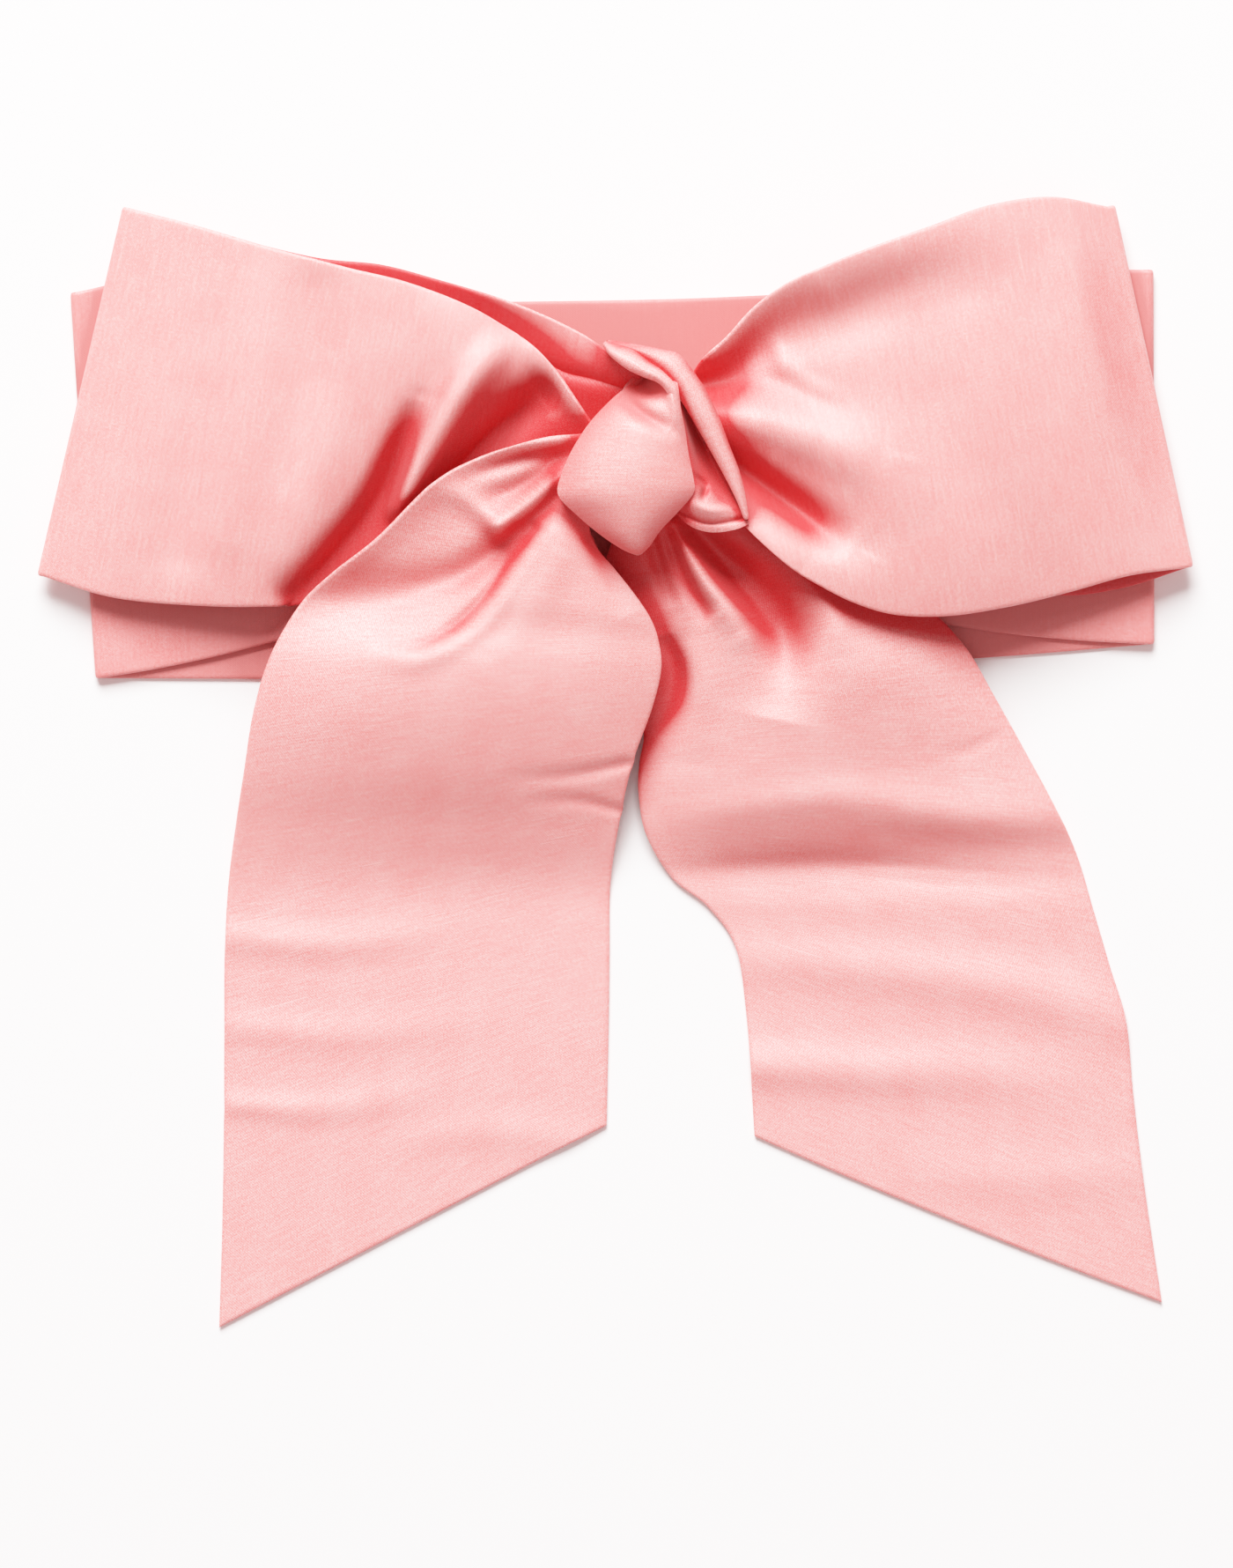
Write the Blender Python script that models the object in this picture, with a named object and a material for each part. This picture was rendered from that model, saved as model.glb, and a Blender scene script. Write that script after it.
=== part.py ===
"""A silk sash tied in a flat bow and laid on a table, seen from above with the knot towards +Y.

One long turned strip makes it: a waist loop pressed flat, a left and a right bow loop, two tails
with slanted ends, and the knot. Each stretch that shows is a thin wall on a table of cross rows.
Sizes in the tables are millimetres, +X to the right, +Y up the picture, +Z off the table.
"""

from collections import namedtuple

import bpy
import numpy as np

MM = 0.001
WALL = 1.2
GAP = 0.3
FOLD_STEPS = 5
FOLD_TUCK = 2.0
SILK_PINK = (0.90, 0.50, 0.49, 1.0)
SILK_ROUGHNESS = 0.42

# A row crosses the strip from edge a to edge b. ha, h1, h2 and hb are the heights of the cloth's
# upper face at edge a, one third and two thirds of the way over, and at edge b.
Row = namedtuple("Row", "ax ay bx by ha h1 h2 hb")

# A fold is a soft ridge, or a trough where its rise is negative, along a smooth path of points.
# Its rise is given at the path's start, middle and end, its half width at start and end.
Fold = namedtuple("Fold", "path rise width")

WAIST_BACK = (
    Row(-136.6, 121.3, -130.1, 22.0, 1.2, 1.2, 1.2, 1.2),
    Row(-100.0, 119.5, -98.0, 21.8, 1.2, 1.2, 1.2, 1.2),
    Row(-60.0, 119.0, -59.0, 21.5, 1.2, 1.2, 1.2, 1.2),
    Row(-20.0, 119.2, -19.0, 22.0, 1.2, 1.2, 1.2, 1.2),
    Row(20.0, 120.0, 21.0, 23.0, 1.2, 1.2, 1.2, 1.2),
    Row(60.0, 122.0, 60.5, 25.0, 1.2, 1.2, 1.2, 1.2),
    Row(100.0, 125.0, 100.0, 27.6, 1.2, 1.2, 1.2, 1.2),
    Row(135.0, 127.2, 135.2, 30.4, 1.2, 1.2, 1.2, 1.2),
)

WAIST_FRONT_LEFT = (
    Row(-139.2, 121.5, -132.7, 22.3, 2.8, 2.8, 2.8, 2.8),
    Row(-122.0, 124.5, -117.0, 24.6, 3.0, 3.0, 3.0, 3.0),
    Row(-100.0, 122.0, -98.0, 28.8, 3.3, 3.4, 3.4, 3.3),
    Row(-75.0, 117.0, -76.0, 35.0, 3.8, 4.0, 4.0, 3.8),
    Row(-50.0, 110.0, -52.0, 44.0, 4.5, 5.0, 5.0, 4.5),
    Row(-28.0, 102.0, -30.0, 56.0, 5.5, 6.0, 6.0, 5.5),
    Row(-10.0, 94.0, -11.0, 68.0, 6.5, 7.0, 7.0, 6.5),
    Row(1.0, 88.0, 1.0, 72.0, 7.0, 7.5, 7.5, 7.0),
)

WAIST_FRONT_RIGHT = (
    Row(137.4, 127.3, 137.6, 30.7, 2.8, 2.8, 2.8, 2.8),
    Row(118.0, 127.0, 118.0, 31.8, 3.0, 3.0, 3.0, 3.0),
    Row(96.0, 124.0, 97.0, 34.0, 3.4, 3.5, 3.5, 3.4),
    Row(72.0, 118.0, 74.0, 38.0, 4.0, 4.2, 4.2, 4.0),
    Row(50.0, 110.0, 52.0, 46.0, 4.8, 5.0, 5.0, 4.8),
    Row(32.0, 101.0, 33.0, 58.0, 5.7, 6.0, 6.0, 5.7),
    Row(15.5, 92.0, 15.5, 70.0, 6.8, 7.0, 7.0, 6.8),
)

LOOP_LEFT_BACK = (
    Row(-122.5, 142.2, -144.5, 47.4, 4.5, 4.5, 4.5, 4.5),
    Row(-104.0, 137.0, -124.0, 44.0, 6.0, 4.9, 4.9, 4.9),
    Row(-78.0, 130.4, -98.0, 42.0, 9.0, 6.0, 5.6, 5.6),
    Row(-60.1, 128.3, -78.0, 45.0, 11.0, 7.0, 6.4, 6.4),
    Row(-45.0, 124.3, -58.0, 50.0, 13.5, 8.0, 7.4, 7.4),
    Row(-30.0, 119.8, -42.0, 56.0, 16.0, 10.0, 8.4, 8.4),
    Row(-18.0, 115.0, -28.0, 62.0, 18.0, 13.0, 9.5, 9.5),
    Row(-8.0, 109.8, -14.0, 69.0, 19.5, 16.0, 11.0, 10.5),
    Row(-2.0, 105.0, -4.0, 76.0, 20.5, 17.0, 12.0, 11.0),
)

LOOP_LEFT_FRONT = (
    Row(-125.3, 143.0, -147.3, 48.1, 6.4, 6.4, 6.4, 6.4),
    Row(-108.0, 138.3, -129.5, 42.6, 8.5, 11.0, 11.0, 8.0),
    Row(-88.0, 132.2, -108.0, 40.4, 11.0, 16.0, 16.0, 10.0),
    Row(-69.2, 127.0, -88.0, 40.2, 14.0, 20.0, 19.0, 11.0),
    Row(-54.0, 123.3, -70.0, 43.0, 17.0, 22.0, 18.0, 11.0),
    Row(-39.0, 117.8, -55.0, 49.0, 20.0, 23.5, 16.0, 10.5),
    Row(-28.5, 112.2, -42.0, 55.5, 22.0, 22.0, 14.0, 10.5),
    Row(-19.0, 105.0, -31.0, 61.0, 23.5, 20.0, 14.0, 11.5),
    Row(-11.0, 94.0, -21.0, 66.0, 24.0, 19.0, 15.0, 12.5),
    Row(-5.0, 85.0, -11.0, 70.5, 22.0, 18.0, 15.0, 13.5),
)
LOOP_LEFT_FOLDS = (
    Fold(((-79.0, 129.0), (-81.5, 99.0), (-86.0, 70.0)), (-1.0, -2.5, 0.0), (9.0, 11.0)),
    Fold(((-49.0, 97.0), (-56.0, 74.0), (-80.0, 41.0)), (0.0, -6.0, -2.0), (7.0, 8.0)),
    Fold(((-36.0, 106.0), (-44.0, 83.0), (-51.0, 65.0)), (1.0, 4.0, 2.0), (6.0, 6.0)),
    Fold(((-20.0, 98.0), (-25.8, 88.0), (-35.0, 79.0)), (-3.0, -7.0, -3.0), (7.0, 8.0)),
)

LOOP_RIGHT_BACK = (
    Row(124.2, 142.2, 144.3, 49.4, 4.5, 4.5, 4.5, 4.5),
    Row(108.0, 140.0, 130.0, 45.0, 5.2, 5.0, 5.0, 5.0),
    Row(90.0, 136.0, 112.0, 43.5, 6.5, 6.0, 6.0, 6.0),
    Row(70.0, 128.0, 88.0, 50.0, 8.0, 7.5, 7.0, 6.5),
    Row(52.0, 120.0, 66.0, 57.0, 9.5, 9.0, 8.0, 7.5),
    Row(38.0, 110.0, 46.0, 66.0, 11.0, 10.5, 9.0, 9.0),
    Row(29.0, 100.0, 34.0, 74.0, 12.0, 11.5, 10.0, 10.0),
    Row(22.0, 94.0, 25.0, 79.0, 12.5, 12.0, 11.0, 11.0),
)

LOOP_RIGHT_FRONT = (
    Row(126.8, 143.4, 147.0, 50.3, 7.0, 7.0, 7.0, 7.0),
    Row(112.0, 145.6, 132.2, 48.1, 10.0, 13.0, 13.0, 10.0),
    Row(96.0, 143.2, 116.0, 43.6, 13.0, 18.0, 18.0, 12.5),
    Row(81.5, 137.8, 101.7, 40.1, 16.0, 22.0, 22.0, 15.0),
    Row(66.3, 132.2, 86.0, 37.6, 18.0, 23.0, 24.0, 18.0),
    Row(54.0, 127.2, 72.0, 37.8, 20.0, 23.0, 24.0, 20.0),
    Row(44.0, 122.5, 61.3, 40.8, 22.0, 22.0, 23.5, 21.0),
    Row(36.0, 116.8, 52.0, 45.5, 23.5, 21.5, 22.0, 21.5),
    Row(29.0, 109.0, 44.0, 50.5, 24.5, 21.5, 21.0, 21.5),
    Row(22.5, 103.0, 36.5, 57.0, 24.0, 21.0, 20.0, 19.5),
    Row(18.5, 97.0, 28.0, 66.0, 22.5, 20.5, 19.5, 18.5),
)
LOOP_RIGHT_FOLDS = (
    Fold(((23.0, 97.0), (39.0, 106.0), (55.0, 117.4)), (-2.0, -3.5, 0.0), (5.0, 8.0)),
    Fold(((27.6, 89.0), (43.5, 92.0), (59.4, 90.0)), (2.0, 3.5, 0.0), (5.0, 8.0)),
    Fold(((34.4, 78.8), (45.8, 69.7), (60.6, 57.2)), (-3.0, -6.0, 0.0), (5.0, 8.0)),
    Fold(((33.0, 75.0), (38.0, 61.0), (52.6, 49.2)), (0.0, 3.0, 1.0), (5.0, 6.0)),
)

TAIL_LEFT = (
    Row(-7.0, 84.4, -2.0, 69.0, 24.5, 23.0, 22.5, 22.0),
    Row(-19.0, 83.3, -6.5, 60.8, 23.5, 23.0, 22.0, 21.5),
    Row(-33.8, 78.5, -4.9, 55.6, 21.0, 20.5, 21.0, 20.5),
    Row(-46.3, 71.7, 0.1, 49.7, 20.5, 18.0, 21.0, 20.0),
    Row(-61.0, 57.4, 5.0, 43.5, 17.0, 15.5, 20.5, 20.0),
    Row(-73.0, 48.0, 9.0, 37.5, 14.5, 14.0, 20.0, 19.5),
    Row(-81.5, 40.0, 11.2, 31.5, 13.0, 15.5, 20.0, 18.5),
    Row(-88.8, 27.6, 11.9, 24.0, 11.0, 17.0, 19.5, 16.5),
    Row(-93.1, 13.5, 9.5, 13.8, 9.0, 16.0, 17.0, 12.5),
    Row(-95.6, -1.7, 4.4, -0.5, 6.0, 11.5, 12.0, 8.0),
    Row(-98.1, -17.6, 0.8, -17.0, 3.0, 5.0, 5.5, 4.0),
    Row(-99.9, -32.0, -1.3, -32.0, 1.4, 1.6, 1.8, 1.5),
    Row(-100.8, -49.0, -1.5, -49.0, 1.2, 1.2, 1.2, 1.2),
    Row(-100.9, -67.0, -1.7, -67.0, 1.2, 1.2, 1.2, 1.2),
    Row(-101.0, -92.0, -2.2, -92.0, 1.2, 1.2, 1.2, 1.2),
    Row(-101.4, -118.5, -2.6, -118.5, 1.2, 1.2, 1.2, 1.2),
    Row(-102.2, -145.5, -3.0, -145.5, 1.2, 1.2, 1.2, 1.2),
)
TAIL_LEFT_CUT = (16.0, 14.05)
TAIL_LEFT_FOLDS = (
    Fold(((-76.0, 44.0), (-54.0, 31.0), (-36.0, 40.0), (-20.0, 60.0)), (-1.0, -4.5, -2.0), (6.0, 5.0)),
    Fold(((-12.0, 63.0), (-18.0, 50.0), (-36.0, 29.0)), (1.0, 2.5, 0.5), (6.0, 9.0)),
    Fold(((-90.0, -10.0), (-50.0, -14.0), (2.0, -12.0)), (0.0, -1.0, -0.5), (8.0, 8.0)),
)

TAIL_RIGHT = (
    Row(7.0, 58.4, 31.0, 59.8, 13.0, 15.0, 15.0, 13.0),
    Row(6.0, 50.0, 38.0, 58.0, 11.0, 16.0, 16.0, 13.0),
    Row(4.0, 40.0, 52.0, 53.0, 9.0, 16.0, 16.5, 12.5),
    Row(4.0, 28.0, 68.0, 46.0, 8.0, 15.5, 16.5, 11.5),
    Row(5.5, 17.0, 80.0, 40.5, 7.5, 14.5, 16.0, 9.5),
    Row(7.2, 8.0, 90.0, 30.5, 7.0, 13.0, 14.5, 8.0),
    Row(6.0, 0.0, 98.0, 17.0, 6.0, 11.0, 12.0, 5.5),
    Row(5.8, -8.0, 105.5, 3.5, 5.0, 8.0, 8.0, 4.0),
    Row(7.8, -18.5, 113.0, -10.5, 3.5, 5.0, 5.0, 3.0),
    Row(14.5, -29.5, 119.0, -23.5, 2.5, 3.0, 3.0, 2.2),
    Row(23.8, -37.0, 123.4, -38.0, 1.6, 2.0, 2.0, 1.5),
    Row(31.0, -47.5, 127.5, -52.0, 1.2, 1.2, 1.2, 1.2),
    Row(33.8, -65.0, 131.8, -66.5, 1.2, 1.2, 1.2, 1.2),
    Row(35.2, -85.0, 133.6, -85.0, 1.2, 1.2, 1.2, 1.2),
    Row(36.4, -104.0, 135.8, -104.0, 1.2, 1.2, 1.2, 1.2),
    Row(37.8, -122.0, 138.4, -122.0, 1.2, 1.2, 1.2, 1.2),
    Row(39.4, -140.5, 141.0, -139.0, 1.2, 1.2, 1.2, 1.2),
)
TAIL_RIGHT_CUT = (13.58, 16.0)
TAIL_RIGHT_FOLDS = (
    Fold(((15.0, 56.0), (15.5, 40.0), (15.0, 20.0)), (-2.0, -4.5, -3.0), (5.0, 6.0)),
    Fold(((22.0, 56.0), (30.0, 42.0), (38.0, 18.0)), (1.0, 3.0, 0.5), (5.0, 8.0)),
    Fold(((40.0, 55.0), (45.0, 40.0), (44.5, 24.0)), (-3.0, -7.5, -2.0), (6.0, 6.5)),
    Fold(((12.0, -22.0), (57.0, -14.0), (112.0, -22.0)), (-0.5, -2.0, 0.0), (5.0, 9.0)),
)

KNOT_WRAP = (
    Row(5.5, 100.0, 12.8, 100.5, 32.0, 33.0, 33.0, 32.0),
    Row(1.9, 96.0, 14.0, 96.3, 29.5, 34.0, 34.5, 31.0),
    Row(-6.5, 87.2, 16.5, 88.5, 26.5, 35.5, 36.0, 30.0),
    Row(-12.8, 78.1, 18.3, 78.3, 26.0, 36.0, 37.0, 29.0),
    Row(-14.7, 68.0, 20.2, 70.0, 25.5, 35.0, 36.0, 28.0),
    Row(-9.9, 62.4, 16.7, 64.4, 25.0, 33.0, 34.0, 27.0),
    Row(-5.6, 57.8, 12.0, 60.0, 24.0, 30.0, 31.0, 25.0),
    Row(-0.5, 53.6, 8.8, 55.0, 22.7, 26.0, 26.0, 23.0),
    Row(3.0, 52.0, 7.0, 52.8, 21.5, 22.5, 22.5, 21.5),
)

KNOT_LIP = (
    Row(-4.6, 106.8, -4.0, 107.6, 25.0, 25.5, 25.5, 25.0),
    Row(-1.5, 104.0, -1.3, 107.8, 29.0, 30.5, 30.5, 28.5),
    Row(2.8, 100.6, 3.2, 106.3, 32.5, 34.5, 34.5, 32.0),
    Row(6.9, 98.8, 8.0, 103.3, 34.7, 36.2, 36.2, 34.2),
    Row(10.3, 97.4, 12.0, 100.0, 35.6, 36.6, 36.6, 35.4),
    Row(13.3, 95.8, 14.0, 97.3, 34.8, 35.2, 35.2, 34.6),
)

KNOT_PLEAT_OUTER = (
    Row(4.0, 102.0, 6.3, 105.7, 27.5, 28.5, 28.5, 27.0),
    Row(9.5, 101.3, 12.0, 106.0, 29.0, 31.0, 31.0, 28.0),
    Row(13.8, 99.5, 17.2, 103.5, 29.0, 31.5, 31.5, 28.0),
    Row(16.2, 95.1, 21.7, 97.4, 29.0, 32.0, 31.5, 27.5),
    Row(18.8, 89.8, 26.2, 90.0, 28.5, 31.5, 31.0, 26.5),
    Row(21.7, 84.5, 28.5, 83.3, 28.0, 31.0, 30.0, 26.0),
    Row(26.0, 77.2, 31.5, 76.3, 27.5, 29.5, 29.0, 25.5),
    Row(29.0, 70.8, 33.4, 69.0, 26.5, 28.0, 27.5, 25.0),
    Row(31.5, 65.5, 34.4, 63.0, 25.5, 26.5, 26.5, 24.5),
)

KNOT_PLEAT_INNER = (
    Row(15.0, 93.0, 18.5, 90.0, 24.5, 25.0, 25.0, 24.0),
    Row(16.0, 86.0, 23.0, 84.0, 24.5, 26.0, 26.0, 24.5),
    Row(17.0, 79.0, 27.0, 76.0, 24.0, 26.0, 25.8, 24.0),
    Row(18.0, 72.5, 31.0, 69.5, 23.0, 25.8, 25.0, 23.5),
    Row(17.5, 66.5, 32.8, 65.5, 22.5, 25.0, 25.0, 23.8),
    Row(18.0, 62.5, 33.8, 62.0, 22.0, 23.0, 23.6, 23.4),
)

CORE_LEFT, CORE_RIGHT = 3.0, 13.0
CORE_ROWS = (1.4, 6.2)
CORE_CLEAR = 0.4


def along(table, place):
    """Columns of a table at places between its rows: cubics through the rows, with the slope at a
    row taken from its two neighbours."""
    values = np.array(table, float)
    slope = np.gradient(values, axis=0)
    low = np.clip(place.astype(int), 0, len(values) - 2)
    part = (place - low)[..., None]
    return (
        values[low] * (1 + 2 * part) * (1 - part) ** 2
        + values[low + 1] * part**2 * (3 - 2 * part)
        + slope[low] * part * (1 - part) ** 2
        - slope[low + 1] * part**2 * (1 - part)
    )


def across(heights, share):
    """Height at a share of the way over a row: the cubic through its four heights."""
    total = 0.0
    for k in range(4):
        weight = 1.0
        for other in range(4):
            if other != k:
                weight = weight * (3 * share - other) / (k - other)
        total = total + heights[..., k] * weight
    return total


def fold_rise(x, y, folds):
    """Height that the folds add at each point: a bell across each path, by distance from it."""
    total = np.zeros_like(x)
    for fold in folds:
        steps = 24
        route = along(fold.path, np.linspace(0, len(fold.path) - 1, steps + 1))
        start, run = route[:-1], np.diff(route, axis=0)
        dx, dy = x[..., None] - start[:, 0], y[..., None] - start[:, 1]
        part = np.clip((dx * run[:, 0] + dy * run[:, 1]) / (run**2).sum(1), 0, 1)
        away = (dx - part * run[:, 0]) ** 2 + (dy - part * run[:, 1]) ** 2
        nearest = away.argmin(-1)[..., None]
        share = (nearest + np.take_along_axis(part, nearest, -1))[..., 0] / steps
        first, middle, last = fold.rise
        rise = (
            first * (1 - share) * (1 - 2 * share)
            + middle * 4 * share * (1 - share)
            + last * share * (2 * share - 1)
        )
        width = fold.width[0] + (fold.width[1] - fold.width[0]) * share
        total += rise * np.exp(-away.min(-1) / width**2)
    return total


def cloth(rows, folds=(), steps=(16, 10), cut=None):
    """Grid of points on the cloth's upper face. cut gives the row where the strip ends at edge a
    and at edge b, for a slanted end."""
    share = np.linspace(0, 1, steps[1] + 1)[None, :]
    end = np.full_like(share, len(rows) - 1) if cut is None else cut[0] + (cut[1] - cut[0]) * share
    place = np.linspace(0, 1, steps[0] + 1)[:, None] * end
    row = along(rows, place)
    share = share + np.zeros_like(place)
    x = row[..., 0] + (row[..., 2] - row[..., 0]) * share
    y = row[..., 1] + (row[..., 3] - row[..., 1]) * share
    z = across(row[..., 4:8], share) + fold_rise(x, y, folds)
    return np.stack([x, y, np.maximum(z, WALL)], axis=-1)


def turned_under(grid, low):
    """The grid with a half round turn before its first row, down to the height low and back
    under by FOLD_TUCK, where the strip folds over and runs on as the layer below."""
    first = grid[0]
    inward = grid[1] - first
    inward[:, 2] = 0
    edge = first[-1] - first[0]
    outward = np.array([edge[1], -edge[0], 0.0]) / np.hypot(edge[0], edge[1])
    if (outward * inward.mean(0)).sum() > 0:
        outward = -outward
    radius = (first[:, 2:3] - low) / 2
    rows = []
    for angle in np.linspace(np.pi, 0, FOLD_STEPS + 1)[:-1]:
        drop = np.concatenate([np.zeros((len(first), 2)), radius * (1 - np.cos(angle))], axis=1)
        rows.append(first + outward * radius * np.sin(angle) - drop)
    tucked = rows[0] - outward * FOLD_TUCK
    return np.concatenate([[tucked], rows, grid])


def normals(grid):
    """Unit normals of a grid of points, on the side that its middle faces up."""
    du = np.gradient(grid, axis=0)
    dv = np.gradient(grid, axis=1)
    normal = np.cross(du, dv)
    normal /= np.linalg.norm(normal, axis=-1, keepdims=True)
    return normal * np.sign(normal[-4:, :, 2].mean())


def silk(name):
    """Pale pink silk, one material for each piece."""
    material = bpy.data.materials.new(name + "_silk")
    material.use_nodes = True
    shader = material.node_tree.nodes["Principled BSDF"]
    shader.inputs["Base Color"].default_value = SILK_PINK
    shader.inputs["Roughness"].default_value = SILK_ROUGHNESS
    shader.inputs["Metallic"].default_value = 0.0
    return material


def closed(name, upper, lower):
    """A closed body between two grids of points: both faces, and a rim along the four edges."""
    rows, columns = upper.shape[:2]
    points = np.concatenate([upper.reshape(-1, 3), lower.reshape(-1, 3)]) * MM
    index = np.arange(rows * columns).reshape(rows, columns)
    quads = np.stack([index[:-1, :-1], index[1:, :-1], index[1:, 1:], index[:-1, 1:]], -1)
    quads = quads.reshape(-1, 4)
    below = index.size
    ring = np.concatenate([index[:, 0], index[-1, 1:], index[-2::-1, -1], index[0, -2:0:-1]])
    after = np.roll(ring, -1)
    rim = np.stack([ring, ring + below, after + below, after], -1)
    faces = np.concatenate([quads, quads[:, ::-1] + below, rim])
    cell = upper[-1, 1] - upper[-1, 0], upper[-2, 0] - upper[-1, 0]
    if np.cross(cell[0], cell[1])[2] < 0:
        faces = faces[:, ::-1]
    mesh = bpy.data.meshes.new(name)
    mesh.from_pydata(points.tolist(), [], faces.tolist())
    mesh.materials.append(silk(name))
    mesh.shade_smooth()
    mesh.set_sharp_from_angle(angle=np.radians(50))
    piece = bpy.data.objects.new(name, mesh)
    bpy.context.scene.collection.objects.link(piece)


def wall(name, grid):
    """The cloth's wall: its upper face and the same points moved in by WALL, never under the
    table."""
    lower = grid - normals(grid) * WALL
    lower[..., 2] = np.maximum(lower[..., 2], 0)
    closed(name, grid, lower)


def roll(name, grid):
    """A narrow strip folded on itself until it is solid: its upper face, and a lower face that
    runs straight between its two edges, WALL below them."""
    share = np.linspace(0, 1, grid.shape[1])[None, :]
    lower = grid.copy()
    lower[..., 2] = grid[:, :1, 2] * (1 - share) + grid[:, -1:, 2] * share - WALL
    closed(name, grid, lower)


def core(name):
    """The knot's hidden layers as one rounded solid: it stands on the waist band's back and
    follows the inside of the knot's wrap."""
    share = np.linspace(0, 1, 7)[None, :]
    place = np.linspace(CORE_ROWS[0], CORE_ROWS[1], 13)[:, None] + share * 0
    row = along(KNOT_WRAP, place)
    x = CORE_LEFT + (CORE_RIGHT - CORE_LEFT) * share + place * 0
    over = (x - row[..., 0]) / (row[..., 2] - row[..., 0])
    y = row[..., 1] + (row[..., 3] - row[..., 1]) * over
    top = np.stack([x, y, across(row[..., 4:8], over)], axis=-1)
    top -= normals(top) * (WALL + CORE_CLEAR)
    foot = top.copy()
    foot[..., 2] = WALL + GAP
    closed(name, top, foot)


for thing in list(bpy.data.objects):
    bpy.data.objects.remove(thing)

wall("waist_back", cloth(WAIST_BACK, steps=(14, 6)))
wall("waist_front_left", turned_under(cloth(WAIST_FRONT_LEFT, steps=(14, 8)), 0.0))
wall("waist_front_right", turned_under(cloth(WAIST_FRONT_RIGHT, steps=(13, 8)), 0.0))
wall("loop_left_back", cloth(LOOP_LEFT_BACK, steps=(16, 10)))
wall("loop_right_back", cloth(LOOP_RIGHT_BACK, steps=(14, 8)))
wall(
    "loop_left_front",
    turned_under(cloth(LOOP_LEFT_FRONT, LOOP_LEFT_FOLDS, steps=(27, 18)), 3.2),
)
wall(
    "loop_right_front",
    turned_under(cloth(LOOP_RIGHT_FRONT, LOOP_RIGHT_FOLDS, steps=(28, 18)), 3.2),
)
wall("tail_right", cloth(TAIL_RIGHT, TAIL_RIGHT_FOLDS, steps=(32, 18), cut=TAIL_RIGHT_CUT))
wall("tail_left", cloth(TAIL_LEFT, TAIL_LEFT_FOLDS, steps=(32, 18), cut=TAIL_LEFT_CUT))
core("knot_core")
wall("knot_wrap", cloth(KNOT_WRAP, steps=(16, 14)))
roll("knot_lip", cloth(KNOT_LIP, steps=(12, 5)))
roll("knot_pleat_outer", cloth(KNOT_PLEAT_OUTER, steps=(16, 6)))
roll("knot_pleat_inner", cloth(KNOT_PLEAT_INNER, steps=(10, 6)))
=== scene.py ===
"""Silk sash tied in a flat bow and laid on a white table, seen from straight above.

The sash is one turned strip of slubbed silk, about 100 mm by 1.83 m. Its stretches are made here
in the order in which it is tied: the waist band, the two bow loops, the two tails and the knot.
Tables are in millimetres, +X to the right, +Y up the picture, +Z off the table.
"""

from collections import namedtuple

import bpy
import numpy as np
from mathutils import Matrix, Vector


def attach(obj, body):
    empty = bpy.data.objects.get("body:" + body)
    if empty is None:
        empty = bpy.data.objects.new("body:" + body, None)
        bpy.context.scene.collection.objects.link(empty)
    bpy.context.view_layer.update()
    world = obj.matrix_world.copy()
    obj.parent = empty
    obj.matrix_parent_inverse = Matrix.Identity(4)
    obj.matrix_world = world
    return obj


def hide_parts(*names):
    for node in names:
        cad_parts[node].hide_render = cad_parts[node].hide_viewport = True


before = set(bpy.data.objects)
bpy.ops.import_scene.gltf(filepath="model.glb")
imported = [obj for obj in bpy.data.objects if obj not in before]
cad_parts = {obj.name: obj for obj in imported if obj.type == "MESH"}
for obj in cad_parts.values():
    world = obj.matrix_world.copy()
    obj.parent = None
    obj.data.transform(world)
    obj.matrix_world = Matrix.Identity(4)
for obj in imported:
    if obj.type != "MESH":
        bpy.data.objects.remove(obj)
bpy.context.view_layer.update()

# Waist band. The middle of the strip, a ring of doubled silk that goes round the waist. It lies
# pressed flat: from the knot out to the left fold, back under to the right fold, and in again.
MM = 0.001
HALF_WALL = 0.6
TABLE_GAP = 0.02
# The wall thins towards its four borders: over this share of the width at the strip's two sides,
# and over this length in millimetres at its two ends. Close points stand in each border.
BORDER = 0.012
END_BORDER = 1.0
END_SHARE = 0.005
BORDER_STEPS = 5
FOLD_ROWS = 10
PATH_STEPS = 20
CRISP_ROUNDING = 0.2
# Height of a rest that is so low that the cloth never meets it.
FREE = -9.0

# A row crosses the strip from edge a to edge b. ha, h1, h2 and hb are the heights of the cloth's
# upper face at edge a, one third and two thirds of the way over, and at edge b.
Row = namedtuple("Row", "ax ay bx by ha h1 h2 hb")

# A fold is a ridge, or a trough where its rise is negative, along a smooth path of points. Its
# rise is given at start, middle and end, its half width at start and end. Lean steepens its left
# side (below 0) or its right side (above 0), seen along the path. Crisp 1 gives it a sharp line.
Fold = namedtuple("Fold", "path rise width lean crisp", defaults=(0.0, 0.0))


def along(table, place):
    """Columns of a table at places between its rows: cubics through the rows, with the slope at a
    row taken from its two neighbours."""
    values = np.array(table, float)
    slope = np.gradient(values, axis=0)
    low = np.clip(place.astype(int), 0, len(values) - 2)
    part = (place - low)[..., None]
    return (
        values[low] * (1 + 2 * part) * (1 - part) ** 2
        + values[low + 1] * part**2 * (3 - 2 * part)
        + slope[low] * part * (1 - part) ** 2
        - slope[low + 1] * part**2 * (1 - part)
    )


def across(heights, share):
    """Height at a share of the way over a row: the cubic through its four heights."""
    total = 0.0
    for k in range(4):
        weight = 1.0
        for other in range(4):
            if other != k:
                weight = weight * (3 * share - other) / (k - other)
        total = total + heights[..., k] * weight
    return total


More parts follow.
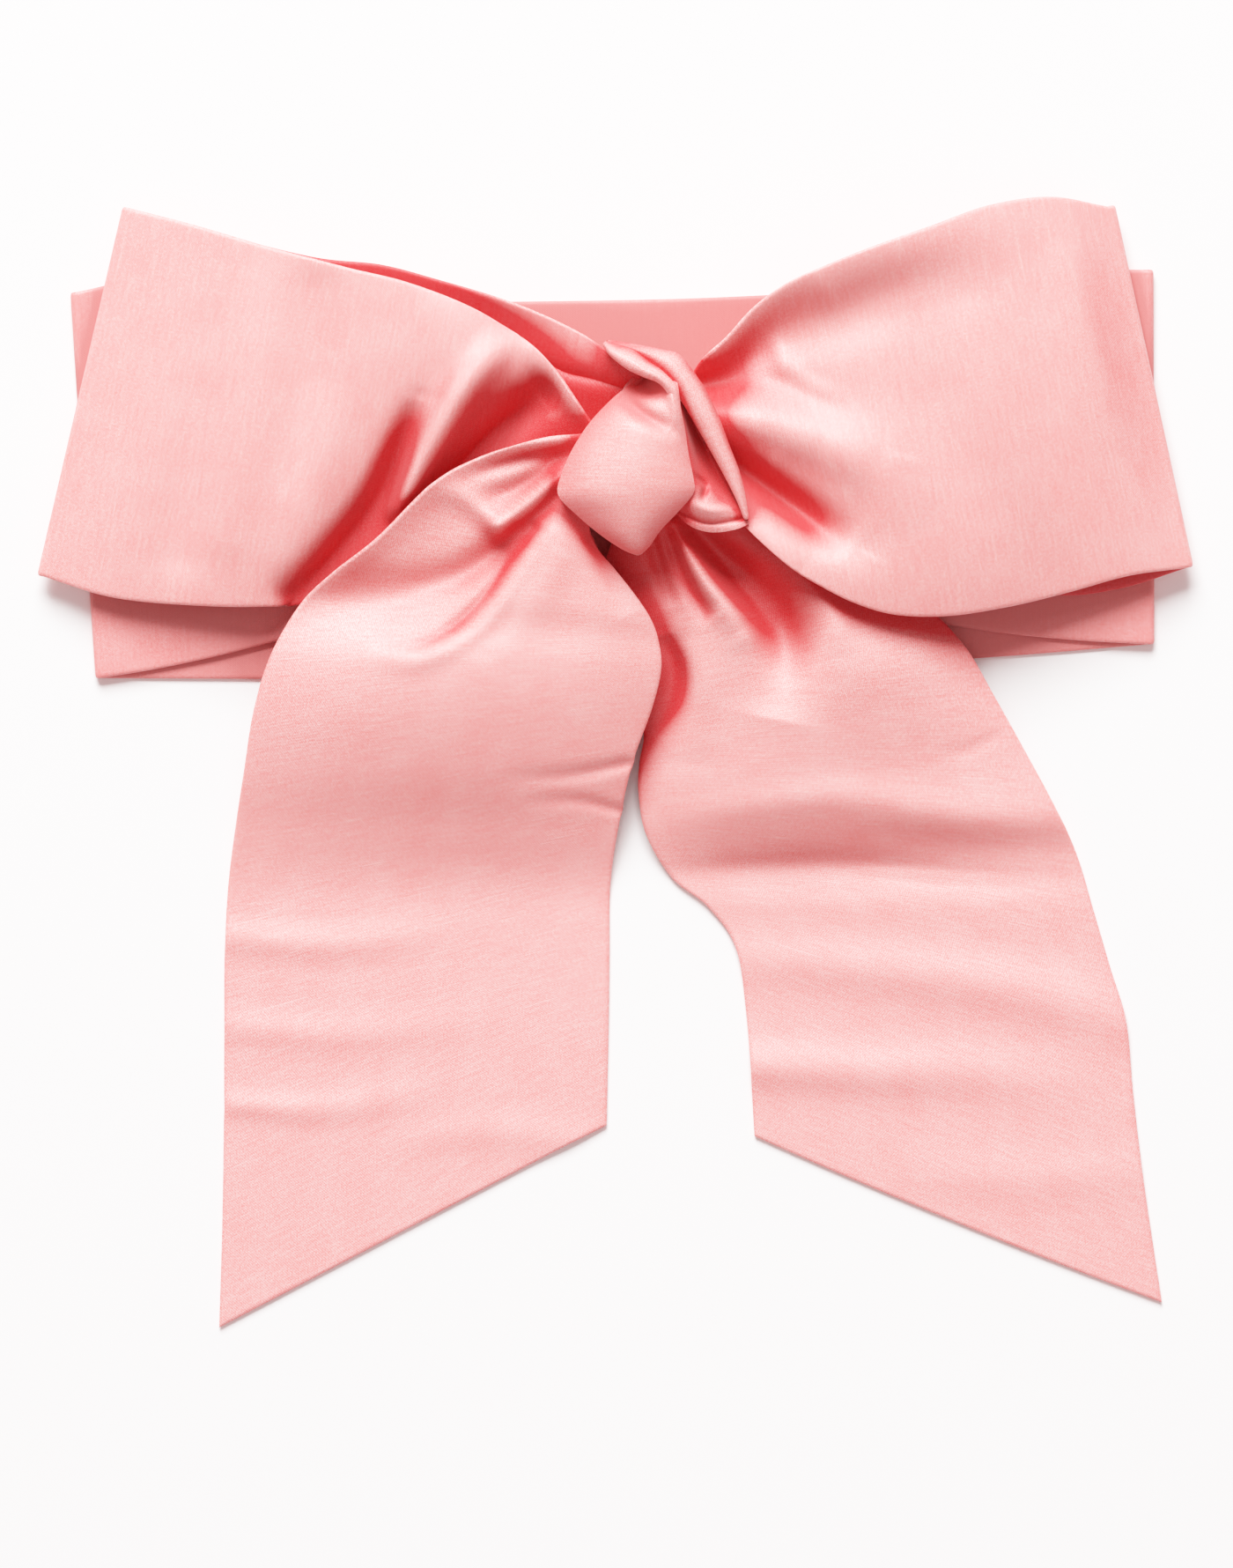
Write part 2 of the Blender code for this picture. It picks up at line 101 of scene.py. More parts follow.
def fold_rise(x, y, folds):
    """Height that the folds add at each point. With q the distance to the path over the half
    width, a fold adds rise * (1 + lean q) * exp(-q^2), or exp(-|q|), slightly rounded at its line,
    where it is crisp. The rise along the path is the parabola through its three values."""
    total = np.zeros_like(x)
    for fold in folds:
        route = along(fold.path, np.linspace(0, len(fold.path) - 1, PATH_STEPS + 1))
        start, run = route[:-1], np.diff(route, axis=0)
        dx, dy = x[..., None] - start[:, 0], y[..., None] - start[:, 1]
        part = np.clip((dx * run[:, 0] + dy * run[:, 1]) / (run**2).sum(1), 0, 1)
        away = (dx - part * run[:, 0]) ** 2 + (dy - part * run[:, 1]) ** 2
        nearest = away.argmin(-1)[..., None]
        left = np.sign(run[:, 0] * dy - run[:, 1] * dx)
        side = np.take_along_axis(left, nearest, -1)[..., 0]
        share = (nearest + np.take_along_axis(part, nearest, -1))[..., 0] / PATH_STEPS
        first, middle, last = fold.rise
        rise = (
            first * (1 - share) * (1 - 2 * share)
            + middle * 4 * share * (1 - share)
            + last * share * (2 * share - 1)
        )
        width = fold.width[0] + (fold.width[1] - fold.width[0]) * share
        q = np.sqrt(away.min(-1)) / width
        soft = np.exp(-(q**2))
        sharp = np.exp(CRISP_ROUNDING - np.sqrt(q**2 + CRISP_ROUNDING**2))
        bell = soft + (sharp - soft) * fold.crisp
        total += rise * (1 + fold.lean * side * q) * bell
    return total


def spaced(count, border=BORDER):
    """Shares from 0 to 1: even steps, with a few close ones inside the border at each end, where
    they grow as the square of their number."""
    rim = border * (np.arange(BORDER_STEPS) / BORDER_STEPS) ** 2
    return np.concatenate([rim, np.linspace(border, 1 - border, count), 1 - rim[::-1]])


def cloth(rows, folds=(), count=(120, 80), cut=None, rest=(FREE, FREE)):
    """Grid of points on the cloth's upper face: even steps through the rows and over them, count of
    each, and the close ones at the borders. cut gives the row where the strip ends at edge a and at
    edge b, for a slanted end. The cloth comes to rest on what lies below, whose heights at even
    steps from the first row to the last are in rest: rest + log(1 + exp(z - rest))."""
    share = spaced(count[1])[None, :]
    end = np.full_like(share, len(rows) - 1) if cut is None else cut[0] + (cut[1] - cut[0]) * share
    place = spaced(count[0], END_SHARE)[:, None] * end
    row = along(rows, place)
    share = share + np.zeros_like(place)
    x = row[..., 0] + (row[..., 2] - row[..., 0]) * share
    y = row[..., 1] + (row[..., 3] - row[..., 1]) * share
    z = across(row[..., 4:8], share) + fold_rise(x, y, folds)
    low = np.interp(place, np.linspace(0, len(rows) - 1, len(rest)), rest)
    z = low + np.logaddexp(0, z - low)
    return np.stack([x, y, np.maximum(z, 2 * HALF_WALL)], axis=-1)


def face_down(grid):
    """The same layer counted from its other face, which looks down: every z less the wall."""
    return grid - np.array([0.0, 0.0, 2 * HALF_WALL])


def fold_over(first, second, side):
    """Rows of a half round fold from the first row of points to the second one over or under it:
    half a circle on the line between the two, bulging to the left (side 1) or right (side -1)."""
    edge = second[-1] - second[0]
    outward = side * np.array([edge[1], -edge[0], 0.0]) / np.hypot(edge[0], edge[1])
    middle, radius = (first + second) / 2, np.linalg.norm(second - first, axis=1)[:, None] / 2
    rows = [
        middle + (first - middle) * np.cos(angle) + outward * radius * np.sin(angle)
        for angle in np.linspace(0, np.pi, FOLD_ROWS)[1:-1]
    ]
    return np.array(rows)


def shell(name, upper, material):
    """A closed thin shell under a grid of points: the middle layer, moved out on both sides along
    its normals by half the wall, which shrinks as an ellipse to nothing at the four borders."""
    du, dv = np.gradient(upper, axis=0), np.gradient(upper, axis=1)
    normal = np.cross(du, dv)
    normal /= np.maximum(np.linalg.norm(normal, axis=-1, keepdims=True), 1e-9)
    # The outer face is the one that looks up in the middle, a quarter of the way from the last row.
    facing = np.sign(normal[-len(upper) // 4, upper.shape[1] // 2, 2])
    normal *= facing
    rows, columns = upper.shape[:2]
    length = np.linalg.norm(np.diff(upper, axis=0), axis=-1).mean(1)
    run = np.concatenate([[0], np.cumsum(length)])
    breadth = np.linalg.norm(np.diff(upper, axis=1), axis=-1)
    over = np.concatenate([np.zeros((rows, 1)), np.cumsum(breadth, axis=1)], axis=1)
    over -= over[:, -1:] / 2
    rim_u = np.clip(np.minimum(run, run[-1] - run) / END_BORDER, 0, 1)[:, None]
    edge_v = spaced(columns - 2 * BORDER_STEPS)
    rim_v = np.clip(np.minimum(edge_v, 1 - edge_v) / BORDER, 0, 1)[None, :]
    round_u, round_v = np.sqrt(1 - (1 - rim_u) ** 2), np.sqrt(1 - (1 - rim_v) ** 2)
    half = (HALF_WALL * np.minimum(round_u, round_v))[..., None]
    middle = upper - normal * HALF_WALL
    top, bottom = middle + normal * half, middle - normal * half
    bottom[..., 2] = np.maximum(bottom[..., 2], TABLE_GAP)

    # Both faces share the points of the outermost ring; the lower one has its own inside it.
    face = np.arange(rows * columns).reshape(rows, columns)
    inner = np.zeros((rows, columns), bool)
    inner[1:-1, 1:-1] = True
    back = face.copy()
    back[inner] = rows * columns + np.arange(inner.sum())
    points = np.concatenate([top.reshape(-1, 3), bottom[inner]]) * MM
    face_quads = np.stack([face[:-1, :-1], face[1:, :-1], face[1:, 1:], face[:-1, 1:]], -1)
    back_quads = np.stack([back[:-1, :-1], back[:-1, 1:], back[1:, 1:], back[1:, :-1]], -1)
    quads = np.concatenate([face_quads.reshape(-1, 4), back_quads.reshape(-1, 4)])
    if facing < 0:
        quads = quads[:, ::-1]
    weave = np.stack([np.broadcast_to(run[:, None], over.shape), over], -1).reshape(-1, 2)
    weave = np.concatenate([weave, weave.reshape(rows, columns, 2)[inner]]) * MM

    mesh = bpy.data.meshes.new(name)
    mesh.from_pydata(points.tolist(), [], quads.tolist())
    corners = np.empty(len(mesh.loops), np.int32)
    mesh.loops.foreach_get("vertex_index", corners)
    strip = mesh.uv_layers.new(name="strip")
    strip.uv.foreach_set("vector", weave[corners].ravel())
    mesh.shade_smooth()
    mesh.materials.append(material)
    piece = bpy.data.objects.new(name, mesh)
    bpy.context.scene.collection.objects.link(piece)
    return piece


def slubbed_weave():
    """Node group for slubbed plain-weave silk. From a point's place along and across the strip it gives
    the thread colour, turned to a painted shade colour where the point's painted shade share is high,
    the roughness and the height of threads and slubs."""
    group = bpy.data.node_groups.new("slubbed_weave", "ShaderNodeTree")
    face = group.interface
    for label, kind, default in (
        ("Place", "NodeSocketVector", None),
        ("Painted Shade Share", "NodeSocketFloat", 0.0),
        ("Silk", "NodeSocketColor", (0.9, 0.45, 0.43, 1)),
        ("Bright Thread", "NodeSocketColor", (0.95, 0.6, 0.58, 1)),
        ("Painted Shade Pink", "NodeSocketColor", (0.8, 0.1, 0.1, 1)),
    ):
        socket = face.new_socket(name=label, in_out="INPUT", socket_type=kind)
        if default is not None:
            socket.default_value = default
    for label, kind in (
        ("Color", "NodeSocketColor"),
        ("Roughness", "NodeSocketFloat"),
        ("Height", "NodeSocketFloat"),
    ):
        face.new_socket(name=label, in_out="OUTPUT", socket_type=kind)
    add, link = group.nodes.new, group.links.new
    given, result = add("NodeGroupInput"), add("NodeGroupOutput")

    def math(operation, first, second=0.0, third=0.0):
        """One sum on up to three values or sockets, by the operation's Blender name."""
        node = add("ShaderNodeMath")
        node.operation = operation
        for socket, value in zip(node.inputs, (first, second, third)):
            if isinstance(value, bpy.types.NodeSocket):
                link(value, socket)
            else:
                socket.default_value = value
        return node.outputs[0]

    def noise(along_mm, across_mm, detail, shift):
        """Noise stretched so that its spots are that long along and across the strip."""
        stretch = add("ShaderNodeVectorMath")
        stretch.operation = "MULTIPLY_ADD"
        link(given.outputs["Place"], stretch.inputs[0])
        stretch.inputs[1].default_value = (1000 / along_mm, 1000 / across_mm, 0)
        stretch.inputs[2].default_value = (shift, shift * 1.7, shift)
        cloud = add("ShaderNodeTexNoise")
        cloud.inputs["Scale"].default_value = 1.0
        cloud.inputs["Detail"].default_value = detail
        cloud.inputs["Roughness"].default_value = 0.55
        link(stretch.outputs[0], cloud.inputs["Vector"])
        return cloud.outputs["Fac"]

    def ramp(value, low, high):
        """Share of the way from low to high, held between 0 and 1."""
        node = add("ShaderNodeMapRange")
        link(value, node.inputs["Value"])
        node.inputs["From Min"].default_value = low
        node.inputs["From Max"].default_value = high
        return node.outputs["Result"]

    def mix(share, first, second):
        """Colour at a share of the way from the first to the second."""
        node = add("ShaderNodeMix")
        node.data_type = "RGBA"
        for number, socket in ((0, share), (6, first), (7, second)):
            link(socket, node.inputs[number])
        return node.outputs[2]

    def weighed(start, *parts):
        """Start plus each part's value times its weight."""
        total = start
        for value, weight in parts:
            total = math("MULTIPLY_ADD", value, weight, total)
        return total

    def threads(place, step_mm, wobble):
        """Threads side by side: the sine of 2 pi place / step, with wobble times wander added."""
        turn = math("MULTIPLY_ADD", place, 2 * np.pi * 1000 / step_mm, math("MULTIPLY", wander, wobble))
        return math("SINE", turn)

    split = add("ShaderNodeSeparateXYZ")
    link(given.outputs["Place"], split.inputs[0])
    wander = noise(4.0, 14.0, 1.0, 4.0)
    weft = threads(split.outputs[0], 0.66, 9.0)
    warp = threads(split.outputs[1], 0.56, 5.0)
    dots = math("MULTIPLY", weft, warp)
    slub = noise(0.7, 9.0, 2.0, 11.0)
    long_slub = ramp(noise(1.0, 24.0, 1.0, 23.0), 0.66, 0.80)
    patch = noise(16.0, 11.0, 3.0, 31.0)
    grain = noise(0.40, 0.46, 2.0, 47.0)
    fleck = noise(1.0, 1.3, 1.0, 59.0)

    # Tone 0 is the plain silk and 1 the bright thread. Deep in a fold, where the colour is painted
    # shade, little of the tone is left.
    tone = weighed(
        -0.36,
        (ramp(slub, 0.3, 0.72), 0.30),
        (ramp(patch, 0.3, 0.7), 0.16),
        (ramp(grain, 0.3, 0.7), 0.92),
        (dots, 0.40),
        (ramp(fleck, 0.35, 0.65), 0.14),
        (long_slub, 0.25),
    )
    tone = ramp(tone, 0.0, 1.0)
    bright = given.outputs["Bright Thread"]
    open_thread = mix(tone, given.outputs["Silk"], bright)
    painted_shade_thread = mix(math("MULTIPLY", tone, 0.12), given.outputs["Painted Shade Pink"], bright)
    # Painted shade: the colour turns to the painted shade pink as the share of hidden sky grows, and
    # the roughness rises there too.
    painted_shade_amount = ramp(given.outputs["Painted Shade Share"], 0.065, 0.33)
    link(mix(painted_shade_amount, open_thread, painted_shade_thread), result.inputs["Color"])
    link(weighed(0.55, (painted_shade_amount, 0.12), (tone, -0.12)), result.inputs["Roughness"])
    height = weighed(0.0, (dots, 0.34), (weft, 0.14), (grain, 0.9), (slub, 0.45), (long_slub, 0.45))
    link(height, result.inputs["Height"])
    return group


weave_group = slubbed_weave()

# Silk colours: the plain silk, its bright slub thread, and the painted shade pink of deep folds.
PINK = (0.89, 0.18, 0.17, 1)
BRIGHT_PINK = (0.95, 0.46, 0.45, 1)
PAINTED_SHADE_PINK = (0.60, 0.005, 0.009, 1)
# The waist band's silk is painted darker than the rest of the sash: painted shade for the band, which
# lies low under the loops and the knot, with a paler painted shade in its folds.
WAIST_SHADED_PINK = (0.83, 0.14, 0.136, 1)
WAIST_SHADED_BRIGHT_PINK = (0.90, 0.37, 0.36, 1)
WAIST_PAINTED_SHADE_PINK = (0.60, 0.13, 0.125, 1)
BUMP_DEPTH = 0.00007
SHEEN = {
    "Anisotropic": 0.5,
    "Specular IOR Level": 0.7,
    "Sheen Weight": 0.10,
    "Sheen Roughness": 0.4,
    "Sheen Tint": (1.0, 0.86, 0.85, 1),
}


def silk(name, pink=PINK, bright=BRIGHT_PINK, painted_shade_pink=PAINTED_SHADE_PINK):
    """Slubbed silk with a soft sheen. Its weave follows the piece's UV map strip, in metres along and
    across. Its colour is painted a deep red shade where the piece's painted shade attribute is high."""
    material = bpy.data.materials.new(name)
    material.use_nodes = True
    nodes, link = material.node_tree.nodes, material.node_tree.links.new
    shader = nodes["Principled BSDF"]
    place = nodes.new("ShaderNodeUVMap")
    place.uv_map = "strip"
    painted_shade_share = nodes.new("ShaderNodeAttribute")
    painted_shade_share.attribute_name = "painted_shade_share"
    weave = nodes.new("ShaderNodeGroup")
    weave.node_tree = weave_group
    weave.inputs["Silk"].default_value = pink
    weave.inputs["Bright Thread"].default_value = bright
    weave.inputs["Painted Shade Pink"].default_value = painted_shade_pink
    link(place.outputs["UV"], weave.inputs["Place"])
    link(painted_shade_share.outputs["Fac"], weave.inputs["Painted Shade Share"])
    link(weave.outputs["Color"], shader.inputs["Base Color"])
    link(weave.outputs["Roughness"], shader.inputs["Roughness"])
    bump = nodes.new("ShaderNodeBump")
    bump.inputs["Distance"].default_value = BUMP_DEPTH
    bump.inputs["Strength"].default_value = 0.55
    link(weave.outputs["Height"], bump.inputs["Height"])
    link(bump.outputs["Normal"], shader.inputs["Normal"])
    grain = nodes.new("ShaderNodeTangent")
    grain.direction_type = "UV_MAP"
    grain.uv_map = "strip"
    link(grain.outputs["Tangent"], shader.inputs["Tangent"])
    for socket, value in SHEEN.items():
        shader.inputs[socket].default_value = value
    return material


WAIST_BACK = (
    Row(-139.2, 121.5, -132.7, 22.0, 1.2, 1.2, 1.2, 1.2),
    Row(-100.0, 119.5, -98.0, 21.8, 1.2, 1.2, 1.2, 1.2),
    Row(-60.0, 119.0, -59.0, 21.5, 1.2, 1.2, 1.2, 1.2),
    Row(-20.0, 119.2, -19.0, 22.0, 1.2, 1.2, 1.2, 1.2),
    Row(20.0, 120.0, 21.0, 23.0, 1.2, 1.2, 1.2, 1.2),
    Row(60.0, 122.0, 60.5, 25.0, 1.2, 1.2, 1.2, 1.2),
    Row(100.0, 125.0, 100.0, 27.6, 1.2, 1.2, 1.2, 1.2),
    Row(137.4, 127.3, 137.6, 30.7, 1.2, 1.2, 1.2, 1.2),
)
WAIST_FRONT_LEFT = (
    Row(-139.2, 121.5, -132.7, 22.0, 2.8, 2.8, 2.8, 2.8),
    Row(-122.0, 124.5, -117.0, 24.6, 3.0, 3.0, 3.0, 3.0),
    Row(-100.0, 122.0, -98.0, 28.8, 3.3, 3.4, 3.4, 3.3),
    Row(-75.0, 117.0, -76.0, 35.0, 3.8, 4.0, 4.0, 3.8),
    Row(-50.0, 110.0, -52.0, 44.0, 4.5, 5.0, 5.0, 4.5),
    Row(-28.0, 102.0, -30.0, 56.0, 5.5, 6.0, 6.0, 5.5),
    Row(-10.0, 94.0, -11.0, 68.0, 6.5, 7.0, 7.0, 6.5),
    Row(1.0, 88.0, 1.0, 72.0, 7.0, 7.5, 7.5, 7.0),
)
WAIST_FRONT_RIGHT = (
    Row(137.4, 127.3, 137.6, 30.7, 2.8, 2.8, 2.8, 2.8),
    Row(118.0, 127.0, 118.0, 31.8, 3.0, 3.0, 3.0, 3.0),
    Row(96.0, 124.0, 97.0, 34.0, 3.4, 3.5, 3.5, 3.4),
    Row(72.0, 118.0, 74.0, 38.0, 4.0, 4.2, 4.2, 4.0),
    Row(50.0, 110.0, 52.0, 46.0, 4.8, 5.0, 5.0, 4.8),
    Row(32.0, 101.0, 33.0, 58.0, 5.7, 6.0, 6.0, 5.7),
    Row(15.5, 92.0, 15.5, 70.0, 6.8, 7.0, 7.0, 6.8),
)
WAIST_FOLDS = (
    Fold(((-134.0, 100.0), (-110.0, 104.0), (-70.0, 101.0)), (0.0, 0.4, 0.0), (7.0, 9.0)),
    Fold(((-128.0, 40.0), (-112.0, 36.0), (-92.0, 40.0)), (0.0, 0.5, 0.0), (4.0, 6.0)),
    Fold(((134.0, 58.0), (112.0, 52.0), (84.0, 58.0)), (0.0, 0.5, 0.0), (6.0, 8.0)),
)

waist_left = cloth(WAIST_FRONT_LEFT, WAIST_FOLDS, (90, 60))[::-1]
waist_under = face_down(cloth(WAIST_BACK, (), (120, 60)))
waist_right = cloth(WAIST_FRONT_RIGHT, WAIST_FOLDS, (90, 60))
left_fold = fold_over(waist_left[-1], waist_under[0], 1)
right_fold = fold_over(waist_under[-1], waist_right[0], -1)
waist_band = shell(
    "waist_band",
    np.concatenate([waist_left, left_fold, waist_under, right_fold, waist_right]),
    silk("waist_painted_shade_silk", WAIST_SHADED_PINK, WAIST_SHADED_BRIGHT_PINK, WAIST_PAINTED_SHADE_PINK),
)
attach(waist_band, "root")
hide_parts("waist_back", "waist_front_left", "waist_front_right")

# Left bow loop. The strip comes out of the knot underneath, turns over at the left end in a soft
# fold and runs back over itself, gathered into the knot in deep folds that rest on the layer below.
LOOP_LEFT_BACK = (
    Row(-125.3, 143.0, -147.3, 48.1, 4.5, 4.5, 4.5, 4.5),
    Row(-104.0, 137.0, -124.0, 44.0, 6.0, 4.9, 4.9, 4.9),
    Row(-78.0, 130.4, -98.0, 42.0, 9.0, 6.0, 5.6, 5.6),
    Row(-60.1, 128.3, -78.0, 45.0, 11.0, 7.0, 6.4, 6.4),
    Row(-45.0, 124.3, -58.0, 50.0, 13.5, 8.0, 7.4, 7.4),
    Row(-30.0, 119.8, -42.0, 56.0, 16.0, 9.0, 8.2, 8.2),
    Row(-18.0, 115.0, -28.0, 62.0, 18.0, 12.0, 8.6, 9.0),
    Row(-8.0, 109.8, -14.0, 69.0, 19.5, 16.0, 10.6, 10.0),
    Row(-2.0, 105.8, -4.0, 78.0, 21.5, 18.5, 13.0, 11.0),
    Row(7.0, 101.0, 5.0, 82.0, 22.5, 19.0, 14.0, 12.0),
)
LOOP_LEFT_BACK_FOLDS = (
    Fold(((-17.6, 103.3), (-12.6, 100.3), (-5.3, 98.5), (3.0, 96.0)),
         (-0.8, -2.2, -2.2), (1.1, 1.1), 0.3, 1.0),
)
LOOP_LEFT_FRONT = (
    Row(-125.3, 143.0, -147.3, 48.1, 6.4, 6.4, 6.4, 6.4),
    Row(-108.0, 138.3, -129.5, 42.6, 11.5, 12.0, 12.0, 9.5),
    Row(-88.0, 132.2, -108.0, 40.4, 16.5, 17.0, 16.5, 12.5),
    Row(-69.2, 127.0, -88.0, 40.2, 21.0, 20.5, 19.0, 13.4),
    Row(-54.0, 123.3, -70.0, 43.0, 23.5, 22.5, 17.0, 10.6),
    Row(-39.0, 117.8, -55.0, 49.0, 24.5, 23.5, 14.5, 9.6),
    Row(-28.5, 112.2, -42.0, 55.5, 22.0, 22.0, 14.0, 10.5),
    Row(-19.0, 105.0, -31.0, 61.0, 23.5, 20.0, 14.0, 11.5),
    Row(-11.0, 94.0, -21.0, 66.0, 24.0, 19.0, 15.0, 12.5),
    Row(-5.0, 85.0, -11.0, 70.5, 22.0, 18.0, 15.0, 13.5),
)
LOOP_LEFT_FOLDS = (
    Fold(((-77.0, 120.0), (-79.5, 92.0), (-84.5, 66.0)), (-1.6, -2.2, -0.4), (6.5, 6.0)),
    Fold(((-74.0, 98.0), (-76.5, 76.0), (-82.0, 54.0)), (0.0, 1.6, 0.8), (6.0, 7.0)),
    Fold(((-104.0, 120.0), (-108.5, 88.0), (-112.0, 54.0)), (-0.6, -2.2, -1.6), (6.0, 6.0)),
    Fold(((-91.0, 122.0), (-94.5, 92.0), (-99.0, 58.0)), (0.4, 1.3, 0.8), (6.0, 6.0)),
    Fold(((-51.0, 93.0), (-55.5, 81.0), (-62.0, 66.0), (-71.5, 53.0), (-82.0, 43.0)),
         (-1.0, -8.5, -6.5), (3.4, 5.0), 0.2),
    Fold(((-46.0, 68.0), (-56.0, 61.0), (-65.0, 53.5), (-74.0, 46.0)),
         (-1.0, -5.0, -4.5), (3.4, 4.2)),
    Fold(((-47.0, 94.0), (-51.5, 80.0), (-54.5, 66.0)), (0.4, 2.6, 2.0), (3.5, 3.6)),
    Fold(((-25.0, 109.0), (-36.5, 95.5), (-44.8, 80.5), (-53.2, 65.0)),
         (0.6, 5.2, 4.0), (5.0, 4.2), -0.9),
    Fold(((-20.0, 94.0), (-29.0, 87.0), (-39.5, 75.0), (-49.0, 63.0)),
         (-6.0, -11.0, -7.0), (5.2, 4.0)),
    Fold(((-26.0, 93.5), (-34.7, 85.6), (-42.2, 75.4), (-46.5, 70.0)),
         (0.0, 2.4, 1.4), (2.2, 1.9)),
    Fold(((-21.0, 105.0), (-12.5, 94.5), (-7.0, 87.0)), (0.8, 1.2, 0.8), (3.0, 2.4)),
    Fold(((-100.0, 128.0), (-108.0, 100.0), (-121.0, 62.0)), (0.0, 0.9, 0.3), (8.0, 9.0)),
)

left_back = face_down(cloth(LOOP_LEFT_BACK, LOOP_LEFT_BACK_FOLDS, (150, 90)))[::-1]
left_front = cloth(LOOP_LEFT_FRONT, LOOP_LEFT_FOLDS, (240, 90), rest=(5.0, 11.0))
left_loop = shell(
    "left_loop",
    np.concatenate([left_back, fold_over(left_back[-1], left_front[0], 1), left_front]),
    silk("left_loop_silk"),
)
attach(left_loop, "root")
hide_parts("loop_left_back", "loop_left_front")

# Right bow loop. Made as the left one, but fuller: its front stands open like a tube, with its
# gathers fanning out from the knot.
LOOP_RIGHT_BACK = (
    Row(126.8, 143.4, 147.0, 50.3, 4.5, 4.5, 4.5, 4.5),
    Row(108.0, 140.0, 130.0, 45.0, 5.2, 5.0, 5.0, 5.0),
    Row(90.0, 136.0, 112.0, 43.5, 6.5, 6.0, 6.0, 6.0),
    Row(70.0, 128.0, 88.0, 50.0, 8.0, 7.5, 7.0, 6.5),
    Row(52.0, 120.0, 66.0, 57.0, 9.5, 9.0, 8.0, 7.5),
    Row(38.0, 110.0, 46.0, 66.0, 11.0, 10.5, 9.0, 9.0),
    Row(29.0, 100.0, 34.0, 74.0, 12.0, 11.5, 10.0, 10.0),
    Row(22.0, 94.0, 25.0, 79.0, 12.5, 12.0, 11.0, 11.0),
)
LOOP_RIGHT_FRONT = (
    Row(126.8, 143.4, 147.0, 50.3, 7.0, 7.0, 7.0, 7.0),
    Row(112.0, 145.6, 132.2, 48.1, 13.0, 15.5, 15.5, 12.0),
    Row(96.0, 143.2, 116.0, 43.6, 17.0, 20.0, 19.5, 14.0),
    Row(81.5, 137.8, 101.7, 40.1, 20.5, 22.5, 22.5, 16.0),
    Row(66.3, 132.2, 86.0, 37.6, 22.0, 23.0, 24.0, 18.5),
    Row(54.0, 127.2, 72.0, 37.8, 23.0, 22.5, 24.0, 20.0),
    Row(44.0, 122.5, 61.3, 40.8, 24.0, 21.5, 23.5, 21.0),
    Row(36.0, 116.8, 52.0, 45.5, 23.5, 21.5, 22.0, 21.5),
    Row(29.0, 109.0, 44.0, 50.5, 24.5, 21.5, 21.0, 21.5),
    Row(22.5, 103.0, 36.5, 57.0, 24.0, 21.0, 20.0, 19.5),
    Row(18.5, 97.0, 28.0, 66.0, 22.5, 20.5, 19.5, 18.5),
)
LOOP_RIGHT_FOLDS = (
    Fold(((20.0, 96.5), (28.5, 98.8), (35.5, 105.0), (44.0, 113.0), (54.0, 120.0)),
         (-7.0, -6.0, 0.0), (4.4, 8.0), 0.3),
    Fold(((24.0, 89.6), (37.0, 88.0), (50.0, 84.6), (68.0, 80.0)),
         (2.0, 4.2, 1.0), (4.6, 8.4), -0.45),
    Fold(((30.0, 97.0), (43.0, 98.0), (54.0, 95.0)), (-0.4, -1.5, -0.5), (3.0, 4.0)),
    Fold(((41.5, 107.6), (44.0, 101.5), (49.4, 97.2), (56.7, 94.2)), (0.5, 1.3, 0.4), (2.2, 2.6)),
    Fold(((34.0, 112.0), (54.0, 127.0), (76.0, 135.0), (98.0, 141.0)), (1.5, 5.0, 1.5), (9.0, 12.0)),
    Fold(((40.0, 104.0), (54.0, 112.0), (72.0, 119.0), (92.0, 124.0)), (-0.8, -2.2, -0.4), (7.0, 9.0)),
    Fold(((26.5, 80.0), (33.0, 75.0), (40.5, 69.6), (48.0, 64.0), (54.0, 59.4), (61.0, 55.5)),
         (-5.0, -8.0, -2.0), (2.4, 6.0), 0.2),
    Fold(((42.0, 78.0), (50.0, 72.0), (58.0, 66.0), (66.0, 60.0)), (-0.4, -1.6, -0.3), (6.0, 8.0)),
    Fold(((26.5, 69.0), (31.5, 62.0), (38.0, 55.5), (47.0, 48.5)), (2.0, 4.4, 1.4), (4.6, 6.2)),
    Fold(((52.0, 79.0), (64.0, 74.0), (80.0, 62.0)), (0.3, 1.4, 0.0), (6.0, 9.0)),
    Fold(((74.0, 118.0), (82.0, 90.0), (97.0, 58.0)), (0.0, -1.6, -0.4), (8.0, 9.0)),
    Fold(((92.0, 120.0), (99.0, 90.0), (110.0, 60.0)), (0.0, 1.2, 0.4), (8.0, 8.0)),
    Fold(((115.0, 128.0), (120.0, 104.0), (126.0, 78.0)), (0.8, 1.4, 0.2), (6.0, 6.0)),
)

right_back = face_down(cloth(LOOP_RIGHT_BACK, (), (150, 90)))[::-1]
right_front = cloth(LOOP_RIGHT_FRONT, LOOP_RIGHT_FOLDS, (240, 90), rest=(5.5, 13.0))
right_loop = shell(
    "right_loop",
    np.concatenate([right_back, fold_over(right_back[-1], right_front[0], -1), right_front]),
    silk("right_loop_silk"),
)
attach(right_loop, "root")
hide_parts("loop_right_back", "loop_right_front")

